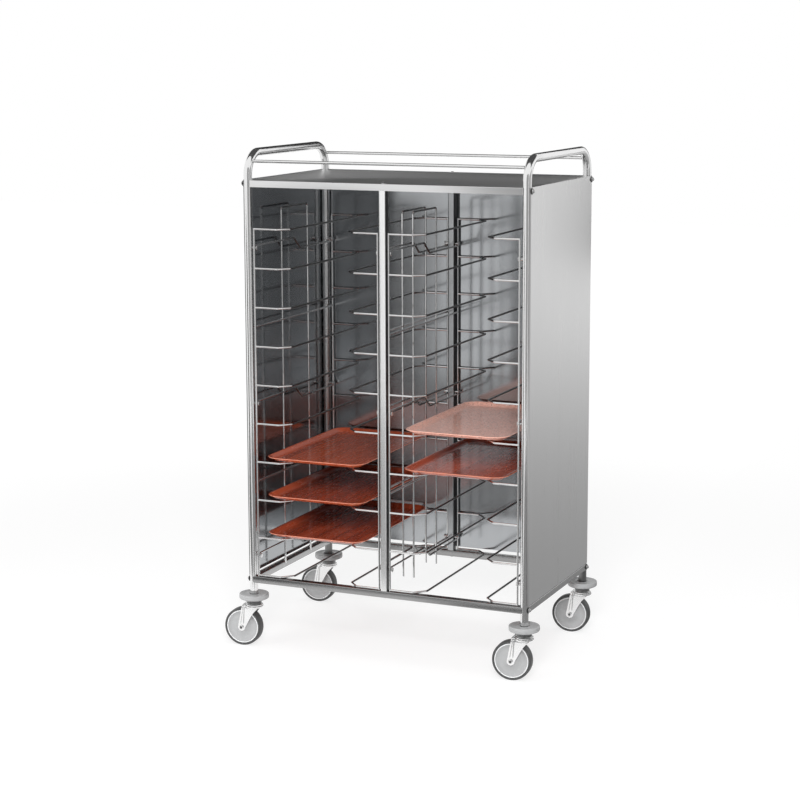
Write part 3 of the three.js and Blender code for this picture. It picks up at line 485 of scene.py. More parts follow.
def end_tree(tree, geometry, start):
    real = grow(tree, "GeometryNodeRealizeInstances", Geometry=geometry)
    finish = start.outputs["Finish"]
    painted = grow(tree, "GeometryNodeSetMaterial", Geometry=real.outputs[0], Material=finish)
    grow(tree, "NodeGroupOutput", Geometry=painted.outputs[0])


STOCK_INPUTS = {
    "Stock Radius": "Float", "Sides": "Int", "Corner Steps": "Int",
    "Level Count": "Int", "Level Step": "Vector", "Finish": "Material",
}
stock_tree = new_tree("bent round stock", STOCK_INPUTS)
start = grow(stock_tree, "NodeGroupInput")
NAMED = "GeometryNodeInputNamedAttribute"
corner = grow(stock_tree, NAMED, {"data_type": "FLOAT"}, Name="corner")
repeated = grow(stock_tree, NAMED, {"data_type": "BOOLEAN"}, Name="repeated")
apart = grow(
    stock_tree, "GeometryNodeSeparateGeometry",
    Geometry=start.outputs["Geometry"], Selection=repeated.outputs["Attribute"],
)
circle = grow(
    stock_tree, "GeometryNodeCurvePrimitiveCircle",
    Resolution=start.outputs["Sides"], Radius=start.outputs["Stock Radius"],
)
swept = []
for lines in (apart.outputs["Selection"], apart.outputs["Inverted"]):
    curve = grow(stock_tree, "GeometryNodeMeshToCurve", Mesh=lines)
    bent = grow(
        stock_tree, "GeometryNodeFilletCurve", {"mode": "POLY"}, Curve=curve.outputs[0],
        Count=start.outputs["Corner Steps"], Radius=corner.outputs["Attribute"], Limit_Radius=True,
    )
    sweep = grow(
        stock_tree, "GeometryNodeCurveToMesh",
        Curve=bent.outputs[0], Profile_Curve=circle.outputs["Curve"], Fill_Caps=True,
    )
    swept.append(sweep.outputs["Mesh"])
ladder = grow(
    stock_tree, "GeometryNodeMeshLine", {"mode": "OFFSET"},
    Count=start.outputs["Level Count"], Offset=start.outputs["Level Step"],
)
copies = grow(stock_tree, "GeometryNodeInstanceOnPoints", Points=ladder.outputs[0], Instance=swept[0])
both = grow(stock_tree, "GeometryNodeJoinGeometry", Geometry=[copies.outputs[0], swept[1]])
end_tree(stock_tree, both.outputs[0], start)


def grown(name, host_mesh, tree, **inputs):
    """A plain mesh object made by a tree from its host mesh. The modifier doesn't stay."""
    host = bpy.data.objects.new(name, host_mesh)
    bpy.context.scene.collection.objects.link(host)
    modifier = host.modifiers.new("made by a tree", "NODES")
    modifier.node_group = tree
    for item in tree.interface.items_tree:
        if item.in_out == "INPUT" and item.name in inputs:
            modifier[item.identifier] = inputs[item.name]
    evaluated = host.evaluated_get(bpy.context.evaluated_depsgraph_get())
    mesh = bpy.data.meshes.new_from_object(evaluated)
    host.modifiers.clear()
    host.data = shade(mesh)
    mesh.name = name
    return host


def bent_stock(name, lines, radius, sides, finish, corner_steps=6, step=(0, 0, 0), count=1):
    """Stock bent along lines, each given as (points, corner radius, repeated)."""
    points, edges, corners, again = [], [], [], []
    for path, bend, is_repeated in lines:
        first = len(points)
        points += path
        edges += [(k, k + 1) for k in range(first, len(points) - 1)]
        corners += [bend] * len(path)
        again += [is_repeated] * len(path)
    mesh = bpy.data.meshes.new(name)
    mesh.from_pydata(points, edges, [])
    mark(mesh, "corner", corners)
    mark(mesh, "repeated", again, "BOOLEAN")
    inputs = {
        "Stock Radius": radius, "Sides": sides, "Corner Steps": corner_steps,
        "Level Count": count, "Level Step": step, "Finish": finish,
    }
    return grown(name, mesh, stock_tree, **inputs)


print("nodes in the stock tree:", len(stock_tree.nodes))

# %% [markdown]
# The end frames are one tube each: up the front post, over as the push handle, and down the rear
# post. Inside the closed cart the rear posts are painted darker from the shelf down: painted shade.
# The guard rods are thin bars between the two handles, welded where the tubes bend.


# %% End frames and guard rods
def painted_shade_indoors(point):
    """How much shade is painted on a tube: its rear post is painted dark from the shelf down, as in the
    shade inside the cart.
    """
    return 0.85 if point.y > POST_Y - HANDLE_BEND and point.z < SHELF_TOP - SHELF_RIM else 0.0


for side, sx in SIDES.items():
    x = sx * POST_X
    line = [
        (x, -POST_Y, POST_FOOT), (x, -POST_Y, HANDLE_HEIGHT),
        (x, POST_Y, HANDLE_HEIGHT), (x, POST_Y, POST_FOOT),
    ]
    tube = bent_stock(
        f"tube_{side}", [(line, HANDLE_BEND, False)], TUBE_RADIUS - TUBE_POLISH, 36,
        FINISHES["frame_tube"], corner_steps=20,
    )
    dress(tube, "cart", "frame_tube", f"end_frame_{side}")
    # Painted shade on the rear posts, inside the cart.
    mark(tube.data, "painted_shade", [painted_shade_indoors(v.co) for v in tube.data.vertices])
ROD_X = POST_X - TUBE_RADIUS - GAP
for end, sy in ENDS.items():
    y = sy * GUARD_ROD_Y
    line = [(-ROD_X, y, GUARD_ROD_HEIGHT), (ROD_X, y, GUARD_ROD_HEIGHT)]
    rod = bent_stock(f"rod_{end}", [(line, 0.0, False)], GUARD_ROD_RADIUS, 20, FINISHES["frame_tube"])
    dress(rod, "cart", "frame_tube", f"{end}_guard_rod")

# %% [markdown]
# A rack is a ladder of ten bent wires on two uprights, stiffened by a hoop, two straight rods and
# three stepped rods that hang on the pins. The ten tray wires are the same wire again and again,
# which is what a tree is good at: one line, repeated by the level pitch.

# %% Wire racks
SUPPORT_STRAIGHT, SUPPORT_REACH, SUPPORT_CORNER = 0.075, 0.106, 0.032
HOOP_Y, HOOP_TOP, HOOP_TAIL = 0.089, TOP_LEVEL + 0.050, BOTTOM_LEVEL - 0.006
STRAIGHT_RODS, HANGING_RODS = (2.49, 6.51), (0.42, 4.42, 8.43)
HANGING_DROP, SLOPE = 0.034, (-0.005, 0.038)
WIRE_BEND, HOOP_BEND = 0.009, 0.008


def level_height(level):
    """The height of a level's wire, counted down from the top one, which is 0."""
    return TOP_LEVEL - level * LEVEL_PITCH


def rack_lines(plane, reach):
    """The wires of a rack in the plane x = plane, with its tray wires on the side of reach, -1 or 1."""
    near, far = plane + reach * SUPPORT_STRAIGHT, plane + reach * SUPPORT_REACH
    tray_wire = [
        (plane, -RACK_Y, TOP_LEVEL), (near, -RACK_Y, TOP_LEVEL),
        (far, -RACK_Y + SUPPORT_CORNER, TOP_LEVEL), (far, RACK_Y - SUPPORT_CORNER, TOP_LEVEL),
        (near, RACK_Y, TOP_LEVEL), (plane, RACK_Y, TOP_LEVEL),
    ]
    lines = [(tray_wire, WIRE_BEND, True)]
    for sy in ENDS.values():
        foot, head = (plane, sy * RACK_Y, BOTTOM_LEVEL - WIRE), (plane, sy * RACK_Y, TOP_LEVEL + WIRE)
        lines.append(([foot, head], 0.0, False))
    hoop = [
        (plane, -HOOP_Y, HOOP_TAIL), (plane, -HOOP_Y, HOOP_TOP),
        (plane, HOOP_Y, HOOP_TOP), (plane, HOOP_Y, HOOP_TAIL),
    ]
    lines.append((hoop, HOOP_BEND, False))
    for level in STRAIGHT_RODS:
        z = level_height(level)
        lines.append(([(plane, -RACK_Y, z), (plane, RACK_Y, z)], 0.0, False))
    for level in HANGING_RODS:
        z = level_height(level)
        low = z - HANGING_DROP
        stepped = [(-RACK_Y, z), (SLOPE[0], z), (SLOPE[1], low), (RACK_Y, low)]
        lines.append(([(plane, *place) for place in stepped], WIRE_BEND, False))
    return lines


def painted_shade_on_runs(y):
    """The runs from front to rear, that trays slide on, are painted darker and rougher: painted shade, as
    the rods lie in the shade of the cart.
    """
    run, hoop = RACK_Y - SUPPORT_CORNER + 0.004, abs(y - HOOP_Y) < 0.005
    return 0.8 if y < run and not hoop else 0.0


for side, sx in SIDES.items():
    for name, plane, reach in (("outer", OUTER_RACK_X, -sx), ("inner", INNER_RACK_X, sx)):
        rack = bent_stock(
            f"rack_{side}_{name}", rack_lines(sx * plane, reach), WIRE, 12, FINISHES["rack_wire"],
            corner_steps=5, step=(0, 0, -LEVEL_PITCH), count=LEVELS,
        )
        dress(rack, "cart", "rack_wire", f"{side}_bay_{name}_rack")
        # Painted shade on the runs from front to rear.
        mark(rack.data, "painted_shade", [painted_shade_on_runs(abs(v.co.y)) for v in rack.data.vertices])

# %% [markdown]
# Small turned hardware repeats all over the cart: domed nuts, post screws and the pins that the
# racks hang on. Each kind is drawn once, about Z. A second tree puts a copy on every seat, turned
# so that its Z follows the seat's attribute `aim`. A black washer lies round the foot of each nut:
# its black is a painted dark reflection, the dark ring round the nut.

# %% A tree for hardware on its seats
seat_tree = new_tree("hardware on its seats", {"Hardware": "Object", "Finish": "Material"})
start = grow(seat_tree, "NodeGroupInput")
aim = grow(seat_tree, NAMED, {"data_type": "FLOAT_VECTOR"}, Name="aim")
turn = grow(seat_tree, "FunctionNodeAlignRotationToVector", {"axis": "Z"}, Vector=aim.outputs["Attribute"])
shape = grow(seat_tree, "GeometryNodeObjectInfo", Object=start.outputs["Hardware"], As_Instance=True)
seated = grow(
    seat_tree, "GeometryNodeInstanceOnPoints", Points=start.outputs["Geometry"],
    Instance=shape.outputs["Geometry"], Rotation=turn.outputs["Rotation"],
)
end_tree(seat_tree, seated.outputs[0], start)


def hardware(name, pattern, seats, finish):
    """Copies of a pattern, (points, faces), on seats given as (point, direction)."""
    model = piece_of(name + "_pattern", *pattern)
    mesh = bpy.data.meshes.new(name)
    mesh.from_pydata([point for point, _ in seats], [], [])
    mark(mesh, "aim", [x for _, direction in seats for x in direction], "FLOAT_VECTOR")
    made = grown(name, mesh, seat_tree, Hardware=model, Finish=finish)
    bpy.data.objects.remove(model)
    return made


def hex_loop(radius, height, sides=48):
    """A hexagon with as many points as a circle has, so that a skin can run from one to the other."""
    loop = []
    for k in range(sides):
        angle = math.tau * k / sides
        off = (angle + math.pi / 6) % (math.pi / 3) - math.pi / 6
        reach = radius * math.cos(math.pi / 6) / math.cos(off)
        loop.append((reach * math.cos(angle), reach * math.sin(angle), height))
    return loop


def dome_loops(radius, rise, foot, angles):
    """Circles up a dome of this radius and rise, whose foot lies at the height foot."""
    turns = [math.radians(angle) for angle in angles]
    return [circle_loop(radius * math.cos(a), foot + rise * math.sin(a)) for a in turns]


def dome_nut():
    base = [circle_loop(0, 0.0), circle_loop(0.0066, 0.0)]
    flats = [hex_loop(0.0074, 0.0007), hex_loop(0.0074, 0.0026)]
    neck = [circle_loop(0.0060, 0.0034)]
    return skin(base + flats + neck + dome_loops(0.0054, 0.0042, 0.0038, range(0, 91, 10)))


def seat_washer():
    under = [(0.0075, 0.0), (0.0088, 0.0), (0.0091, 0.0005)]
    over = [(0.0088, 0.0012), (0.0079, 0.0014), (0.0075, 0.0012)]
    return turned([*under, *over, under[0]])


def post_screw():
    """A low round head with a hexagon sunk into it."""
    base = [circle_loop(0, 0.0), circle_loop(0.006, 0.0), circle_loop(0.006, 0.0006)]
    socket = [hex_loop(0.0022, 0.0034), hex_loop(0.0021, 0.0014), circle_loop(0, 0.0012)]
    return skin(base + dome_loops(0.006, 0.0028, 0.0006, range(15, 76, 15)) + socket)


PIN_RADIUS, PIN_HEAD_RADIUS, PIN_HEAD_LENGTH = 0.004, 0.0070, 0.0025


def hanging_pin(length):
    end = length + PIN_HEAD_LENGTH
    shank = [(0, 0), (PIN_RADIUS, 0), (PIN_RADIUS, length)]
    head = [(PIN_HEAD_RADIUS, length), (PIN_HEAD_RADIUS, end), (0, end)]
    return turned(rounded(shank + head, 0.0009, 3), 32)


# The height of each row of nuts, and how far out along X it is seated.
NUT_SEATS = {"lower": (RAIL_CENTRE, 0.4538), "upper": (SHELF_TOP - SHELF_RIM / 2, 0.4553)}
nut_seats, nut_nodes, screw_seats, screw_nodes = [], [], [], []
for end, sy in ENDS.items():
    for side, sx in SIDES.items():
        for row, (height, seat) in NUT_SEATS.items():
            nut_seats.append(((sx * seat, sy * POST_Y, height), (sx, 0, 0)))
            nut_nodes.append(f"{end}_{side}_{row}_dome_bolt")
    for height, way in ((SHELF_TOP + GAP, 1), (RAIL_CENTRE - RAIL_HEIGHT / 2 - GAP, -1)):
        screw_seats.append(((0, sy * MIDDLE_POST_Y, height), (0, 0, way)))
    screw_nodes += [f"{end}_upper_post_screw", f"{end}_lower_post_screw"]
nuts = hardware("dome_nuts", dome_nut(), nut_seats, FINISHES["fastener"])
dress(nuts, "cart", "fastener", *nut_nodes)
# Black washers: a painted dark reflection round the foot of each nut.
washers = outward(hardware("nut_washers", seat_washer(), nut_seats, DARK_RING_WASHER))
dress(washers, "cart", "fastener", finish=DARK_RING_WASHER)
screws = hardware("post_screws", post_screw(), screw_seats, FINISHES["fastener"])
dress(screws, "cart", "fastener", *screw_nodes)

PIN_ASIDE = 0.0015  # between a pin and the rack's upright
PIN_ROOT, PIN_PLAY = 0.001, 0.0008  # how deep a pin starts in its post, and its room past the wire
PIN_Y = RACK_Y - WIRE - PIN_ASIDE - PIN_RADIUS
PIN_TO_ROD = PIN_RADIUS + WIRE + GAP
PIN_ROWS = {
    "outer": (POST_X - TUBE_RADIUS + PIN_ROOT, OUTER_RACK_X, -1),
    "inner": (MIDDLE_POST_FACE / 2 - PIN_ROOT, INNER_RACK_X, 1),
}
for name, (root, plane, way) in PIN_ROWS.items():
    seats = []
    for sy in ENDS.values():
        for level in HANGING_RODS:
            rod = level_height(level)
            z = rod - PIN_TO_ROD if sy < 0 else rod - HANGING_DROP + PIN_TO_ROD
            seats += [((sx * root, sy * PIN_Y, z), (sx * way, 0, 0)) for sx in SIDES.values()]
    pin = hanging_pin(abs(plane - root) + WIRE + PIN_PLAY)
    pins = hardware(f"pins_{name}", pin, seats, FINISHES["rack_wire"])
    dress(pins, "cart", "frame_tube", finish=FINISHES["rack_wire"])
print("nuts:", len(nut_seats), "screws:", len(screw_seats), "pins:", 2 * len(seats))

# %% [markdown]
# Rails and middle posts are rectangular tube with small rolled corners. A rail that meets a round
# post is cut to a saddle, so its end follows the tube: each point of the end is pushed along the
# rail until it touches the post's circle. The middle posts are bright on their faces. The sides that
# look into the bays are painted dark, and the rear post is painted darker than the front one: painted
# shade.


# %% Rails and middle posts
def square_outline(width, height, radius, steps=4, cuts=6):
    """Points round a rectangle with rolled corners, with `cuts` extra points along each wide side."""
    w, h = width / 2 - radius, height / 2 - radius
    first, second, third, fourth = corner_arcs(w, h, radius, steps)
    top = [(w * (1 - 2 * (k + 1) / (cuts + 1)), h + radius) for k in range(cuts)]
    bottom = [(-u, -v) for u, v in top]
    return first + top + second + third + bottom + fourth


def second_finish(piece, finish, takes_it):
    """Gives another finish to the faces whose normals takes_it picks."""
    piece.data.materials.append(finish)
    for face in piece.data.polygons:
        face.material_index = int(takes_it(face.normal))


def saddle_rail(axis, across, length, centre):
    """A hollow rail along X (0) or Y (1) at `across` on the other axis, between the posts' circles."""
    loops = []
    reach = TUBE_RADIUS + GAP
    for wall, ways in ((0.0, (-1, 1)), (TUBE_WALL, (1, -1))):
        for way in ways:
            loop = []
            width, height = RAIL_DEPTH - 2 * wall, RAIL_HEIGHT - 2 * wall
            for u, v in square_outline(width, height, RAIL_CORNER - wall / 2):
                along = way * (length - math.sqrt(max(reach**2 - u**2, 0)))
                spot = (along, across + u) if axis == 0 else (across + u, along)
                loop.append((*spot, centre + v))
            loops.append(loop)
    return skin(loops, closed=True)


for end, sy in ENDS.items():
    rail = outward(piece_of(f"rail_{end}", *saddle_rail(0, sy * POST_Y, POST_X, RAIL_CENTRE)))
    dress(rail, "cart", "rail_steel", f"{end}_bottom_rail")
    outline = square_outline(MIDDLE_POST_FACE, MIDDLE_POST_SIDE, MIDDLE_POST_CORNER)
    heights = RAIL_TOP + GAP, SHELF_TOP - SHELF_SHEET - GAP
    loops = [[(u, sy * MIDDLE_POST_Y + v, z) for u, v in outline] for z in heights]
    post = outward(piece_of(f"middle_post_{end}", *skin(loops)))
    # The rear post is a darker copy of the front one's steel: painted shade.
    face_finish = POST_ALONG_Z if sy < 0 else PAINTED_SHADE_REAR_POST
    dress(post, "cart", "rail_steel", f"{end}_middle_post", finish=face_finish)
    # The sides that look into the bays are painted dark: painted shade.
    second_finish(post, PAINTED_SHADE_POST_SIDE, lambda normal: abs(normal.x) > 0.8)
for side, sx in SIDES.items():
    rail = outward(piece_of(f"rail_{side}", *saddle_rail(1, sx * POST_X, POST_Y, RAIL_CENTRE)))
    dress(rail, "cart", "rail_steel", f"{side}_bottom_rail", finish=RAIL_ALONG_Y)
print("rails: 4, middle posts: 2")

# %% [markdown]
# The top shelf is one sheet: its rim is folded down through a small radius, and its corners are
# notched round the posts. Drawing the outline at several insets and heights gives the fold its
# rounded edge, which is what catches the light along the front.


# %% Top shelf
FOLD, NOTCH_GAP, NOTCH_LEAD = 0.0022, 0.0009, 0.001


def shelf_outline(inset, height):
    """The shelf's edge with its four notches, inset from the full size, at a height."""
    outer_x, outer_y = POST_X + TUBE_RADIUS - inset, POST_Y + TUBE_RADIUS - inset
    radius = TUBE_RADIUS + NOTCH_GAP + inset
    quarter = [(outer_x, 0.0), (outer_x, POST_Y - radius - NOTCH_LEAD)]
    quarter += arc((POST_X, POST_Y), radius, -45, -225, 16)
    quarter += [(POST_X - radius - NOTCH_LEAD, outer_y), (0.0, outer_y)]
    half = quarter + [(-x, y) for x, y in quarter[::-1][1:]]
    full = half + [(x, -y) for x, y in half[::-1][1:-1]]
    return [(x, y, height) for x, y in full]


loops = [shelf_outline(inset, SHELF_TOP - SHELF_RIM) for inset in (SHELF_SHEET, 0.0)]
for angle in range(0, 91, 15):
    a = math.radians(angle)
    loops.append(shelf_outline(FOLD * (1 - math.cos(a)), SHELF_TOP - FOLD * (1 - math.sin(a))))
top_points, top_faces = skin(loops)
underside = shelf_outline(SHELF_SHEET, SHELF_TOP - SHELF_SHEET)
count, base = len(underside), len(top_points)
faces = [f for f in top_faces if len(f) == 4] + [tuple(range(base - count, base))]
faces += [((k + 1) % count, k, base + k, base + (k + 1) % count) for k in range(count)]
faces.append(tuple(range(base, base + count))[::-1])
shelf = outward(piece_of("shelf", top_points + underside, faces))
dress(shelf, "cart", "shelf_sheet", "top_shelf")
print("shelf faces:", len(shelf.data.polygons))

# %% [markdown]
# The side and back sheets lie outside the posts, and their upright edges are curled round them.
# The outline of a sheet seen from above is an offset pair of lines: out along the outer face, back
# along the inner one, with the two edges rolled round.


# %% Side and back sheets
PANEL_EDGE, SIDE_LIFT, BACK_LIFT = 0.0004, 0.003, 0.009


def curled_outline(far, half_span):
    """A sheet at the distance far, seen from above, with its edges curled round two posts."""
    inner, outer = TUBE_RADIUS + GAP, TUBE_RADIUS + GAP + PANEL_SHEET
    front, rear = (far, -half_span), (far, half_span)
    return (
        arc(front, outer, -PANEL_CURL, 0, 10) + arc(rear, outer, 0, PANEL_CURL, 10)
        + arc(rear, inner, PANEL_CURL, 0, 10) + arc(front, inner, 0, -PANEL_CURL, 10)
    )


def sheet(name, outline, lift, node, inward):
    """A sheet over an outline. The face that looks inward has a smoother, unbrushed finish, painted darker:
    painted shade inside the cart.
    """
    bottom = RAIL_TOP + lift
    heights = [bottom, bottom + PANEL_EDGE, PANEL_TOP - PANEL_EDGE, PANEL_TOP]
    made = outward(piece_of(name, *skin([[(x, y, z) for x, y in outline] for z in heights])))
    dress(made, "cart", "panel_sheet", node)
    second_finish(made, SHADED_INNER_SHEET, lambda normal: normal.dot(Vector(inward)) > 0.7)


for side, sx in SIDES.items():
    outline = [(sx * x, y) for x, y in curled_outline(POST_X, POST_Y)]
    sheet(f"sheet_{side}", outline, SIDE_LIFT, f"{side}_side_panel", (-sx, 0, 0))
outline = [(-y, x) for x, y in curled_outline(POST_Y, POST_X)]
sheet("sheet_back", outline, BACK_LIFT, "back_panel", (0, -1, 0))
print("sheets: 3")

# %% [markdown]
# A tray is a flat floor, a smooth flare and a rolled lip, all following one rounded rectangle. The
# section is a list of (inset, height) pairs from the middle of the underside, round the lip, to the
# middle of the floor. A mesh attribute is 1 on the outermost points: the pale cut edge, and a
# painted highlight along the lip.

# %% Trays
TRAY_X, TRAY_Y, TRAY_CORNER, TRAY_MID_Y = 0.1625, 0.265, 0.045, -0.008
TRAY_SECTION = [
    (32, 0), (26, 0.1), (23, 0.5), (20, 1.4), (17, 2.9), (13, 5.7), (9.4, 8.6), (7.2, 10.3), (5.4, 11.2),
    (3.4, 11.5), (1.3, 11.6), (0.4, 11.9), (0, 12.7), (0.25, 13.4), (1.0, 13.9), (2.8, 14), (4.6, 13.8),
    (6.4, 13.1), (8.6, 11.7), (12, 9.2), (16, 6.5), (20, 4.3), (24, 3.0), (28, 2.55), (34, 2.5),
]
# These points are painted lighter: the pale cut edge, and a painted highlight along the lip.
RIM_FROM, RIM_TO = 11, 13  # the section's points on the cut edge


def tray_loop(inset, height, middle_x, seat):
    x, y = TRAY_X - TRAY_CORNER, TRAY_Y - TRAY_CORNER
    corners = corner_arcs(x, y, TRAY_CORNER - inset, 14)
    return [(middle_x + u, TRAY_MID_Y + v, seat + height) for points in corners for u, v in points]


def tray_piece(name, middle_x, level):
    seat = level_height(level - 1) + WIRE + GAP
    loops = [tray_loop(inset / 1000, height / 1000, middle_x, seat) for inset, height in TRAY_SECTION]
    made = outward(piece_of(name, *skin(loops)))
    count = len(loops[0])
    edge_and_highlight = [float(RIM_FROM <= k // count <= RIM_TO) for k in range(len(made.data.vertices))]
    mark(made.data, "lip_edge_and_highlight", edge_and_highlight)
    return made


BAY_CENTRE = (OUTER_RACK_X + INNER_RACK_X) / 2
# How far each tray lies to the right of its bay's centre, by its level.
TRAYS = {"left": {7: -0.017, 8: -0.017, 9: -0.017}, "right": {6: 0.0, 7: -0.004}}
for side, levels in TRAYS.items():
    for level, shift in levels.items():
        node = f"{side}_tray_level_{level}"
        tray = tray_piece(f"tray_{side}_{level}", SIDES[side] * BAY_CENTRE + shift, level)
        dress(tray, node, "tray_granite" if (side, level) == ("right", 6) else "tray_brown", node)
print("trays:", sum(len(levels) for levels in TRAYS.values()))

# %% [markdown]
# Each castor is drawn once about its own swivel axis and then carried to its corner, turned a
# little as on the real cart. The bumper and the swivel head stay with the cart, the fork and the
# axle swivel, and the tyre and the wheel centre roll. Turned parts come from their profiles.

# %% Castor parts: profiles
CROWN_BOTTOM, CROWN_TOP, RACE_MIDDLE = 0.1215, 0.1245, 0.12845


def mm(profile):
    """A profile in metres from one in millimetres."""
    return [(r / 1000, z / 1000) for r, z in profile]


BUMPER = mm([
    (11.0, 143.9), (27.5, 143.9), (30.0, 144.3), (35.0, 146.4), (40.0, 148.6), (43.4, 150.2), (45.0, 151.5),
    (45.6, 153.2), (45.6, 158.0), (45.6, 162.4), (45.1, 164.3), (43.8, 165.5), (41.8, 165.8), (39.6, 165.3),
    (36.0, 164.5), (28.0, 163.9), (21.0, 163.8), (19.0, 164.5), (17.4, 164.6), (16.6, 163.8), (16.2, 161.6),
    (14.4, 160.4), (13.9, 158.0), (11.0, 158.0), (11.0, 143.9),
])
SWIVEL_HEAD = mm([
    (0, 118.3), (10, 118.3), (10, 121.0), (6, 121.0), (6, 124.8), (21.6, 124.8), (21.6, 130.6),
    (26.6, 130.6), (26.7, 129.1), (27.1, 128.9), (27.4, 129.4), (27.5, 130.7), (27.4, 131.6), (26.8, 132.3),
    (25.0, 132.6), (23.6, 133.1), (22.8, 134.2), (22.5, 136.0), (22.4, 140.0), (21.7, 142.0), (20.2, 143.2),
    (18.0, 143.6), (10.6, 143.6), (10.6, 203.0), (0, 203.0),
])
CROWN = mm([
    (0, 121.5), (24.0, 121.5), (27.4, 121.9), (28.3, 123.0), (28.5, 124.6), (28.5, 126.4), (28.2, 127.5),
    (27.4, 128.0), (26.9, 127.8), (26.6, 126.3), (22.6, 126.2), (22.1, 125.0), (22.1, 124.5), (0, 124.5),
])
TYRE = mm([
    (51.5, -13.8), (53.0, -14.9), (55.0, -15.8), (56.8, -15.5), (58.1, -14.2), (58.8, -12.0), (59.0, -8.5),
    (59.0, 0.0), (59.0, 8.5), (58.8, 12.0), (58.1, 14.2), (56.8, 15.5), (55.0, 15.8), (53.0, 14.9),
    (51.5, 13.8), (51.5, 0.0), (51.5, -13.8),
])


def both_faces(half):
    """A closed profile from its half above the middle plane, given from the bore outwards."""
    return [*half, *[(r, -z) for r, z in half[::-1]], half[0]]


WHEEL_CENTRE = both_faces(mm([
    (4.3, 19.0), (9.4, 19.0), (10.2, 18.4), (10.8, 17.0), (12.6, 16.2), (16.0, 14.9), (20.0, 13.3),
    (24.0, 11.7), (28.0, 10.3), (32.0, 9.5), (36.0, 9.3), (40.0, 9.9), (43.4, 11.4), (45.6, 13.0),
    (47.0, 13.8), (47.9, 13.9), (48.2, 13.5),
]))
WHEEL_LIP = both_faces(mm([
    (48.3, 13.8), (48.9, 14.6), (49.8, 14.9), (50.7, 14.6), (51.2, 13.8), (51.3, 12.5),
]))
AXLE = mm([
    (0, -26.3), (2.6, -26.3), (2.9, -24.6), (4.0, -26.0), (5.6, -26.2), (6.7, -25.4), (7.0, -24.0),
    (7.0, -22.3), (4.0, -22.3), (4.0, 22.3), (7.0, 22.3), (7.0, 24.4), (6.6, 25.4), (5.4, 26.2),
    (3.2, 26.3), (0, 26.3),
])
print("tread radius:", max(radius for radius, _ in TYRE), "m")

# %% [markdown]
# The fork is pressed from sheet: a round crown, and two cheeks that taper down to the axle. The
# front edge sweeps in under the crown, and a rounded rib is pressed into each cheek to stiffen it.
# A grid of points over the cheek, pushed out where the rib is, gives both faces of the sheet.


# %% Castor parts: the fork
FORK_HALF, FORK_SHEET, FOOT = 0.0195, 0.0024, 0.0118
FORK_BACK, FORK_TOE, FORK_FOLD = -0.0340, 0.0205, 0.0035
FOOT_BOTTOM, CHEEK_TOP = WHEEL_RADIUS - FOOT * 0.999, CROWN_TOP - 0.0001
CHEEK_ROWS, CHEEK_COLUMNS = 36, 30
STRAIGHT_SHARE, SWEPT_SHARE = 0.79, 0.21  # how a cheek's front edge goes from its foot to the crown
RIB_SPINE, RIB_LEAN, RIB_WIDTH, RIB_TAPER = -0.0335, 0.0075, 0.0068, 0.0044
RIB_HEIGHT, RIB_SLOPE, RIB_START = 0.0019, 0.45, 0.14
BRIDGE_CORNER, BRIDGE_DROP = 0.002, 0.0002
SHOULDER_RADIUS, SHOULDER_CORNER = 0.0290, 0.005
SHOULDER_SECTION = [(0.0, CROWN_BOTTOM), (0.0, 0.1288), (0.0004, 0.1301), (0.0014, 0.1309), (0.0026, 0.1311)]


def cheek_edges(z):
    """Where a cheek starts and ends along X at height z: an upright rear edge and a hollow front edge."""
    up = min(max((z - WHEEL_RADIUS) / (CROWN_BOTTOM - WHEEL_RADIUS), 0), 1)
    half = math.sqrt(max(FOOT**2 - min(z - WHEEL_RADIUS, 0) ** 2, 0))
    rear = -CASTOR_TRAIL - half + (FORK_BACK + CASTOR_TRAIL + FOOT) * up
    sweep = STRAIGHT_SHARE * up + SWEPT_SHARE * up**6
    front = -CASTOR_TRAIL + half + (FORK_TOE + CASTOR_TRAIL - FOOT) * sweep
    return rear, front


def ridge_lift(x, z):
    """How far the pressed rib stands out: flat-topped, narrow at the crown and wide above the foot."""
    up = (z - WHEEL_RADIUS) / (CROWN_TOP - WHEEL_RADIUS)
    spine, width = RIB_SPINE + RIB_LEAN * up, RIB_WIDTH - RIB_TAPER * up
    inside = min(max(1 - abs(x - spine) / width, 0) / RIB_SLOPE, 1)
    fade = min(max(up - RIB_START, 0) / RIB_START, 1)
    return RIB_HEIGHT * fade * inside * inside * (3 - 2 * inside)


def rib_flank_shade(x, z):
    """How much shade is painted on the slopes beside the rib: the steeper, the more, up to 0.7."""
    step = 0.0006
    slope = abs(ridge_lift(x + step, z) - ridge_lift(x - step, z)) / (2 * step)
    return min(slope, 0.7)


def cheek(way):
    """One cheek, way -1 or 1 along Y, as points and faces of a closed sheet."""
    rows, columns, wide = CHEEK_ROWS, CHEEK_COLUMNS, CHEEK_COLUMNS + 1
    outer, inner = [], []
    for row in range(rows + 1):
        z = FOOT_BOTTOM + (CHEEK_TOP - FOOT_BOTTOM) * row / rows
        rear, front = cheek_edges(z)
        turned_in = FORK_FOLD - math.sqrt(FORK_FOLD**2 - max(z - CROWN_TOP + FORK_FOLD, 0) ** 2)
        for column in range(wide):
            x = rear + (front - rear) * column / columns
            lift = FORK_HALF + ridge_lift(x, z) - turned_in
            inner.append((x, way * lift, z))
            outer.append((x, way * (lift + FORK_SHEET), z))
    starts = [r * wide + c for r in range(rows) for c in range(columns)]
    grid = [(k, k + 1, k + wide + 1, k + wide) for k in starts]
    border = list(range(wide)) + [r * wide + columns for r in range(1, rows + 1)]
    border += [rows * wide + c for c in range(columns - 1, -1, -1)]
    border += [r * wide for r in range(rows - 1, 0, -1)]
    size = len(outer)
    faces = grid + [tuple(k + size for k in f[::-1]) for f in grid]
    faces += [(b, a, a + size, b + size) for a, b in zip(border, border[1:] + border[:1])]
    return outer + inner, faces


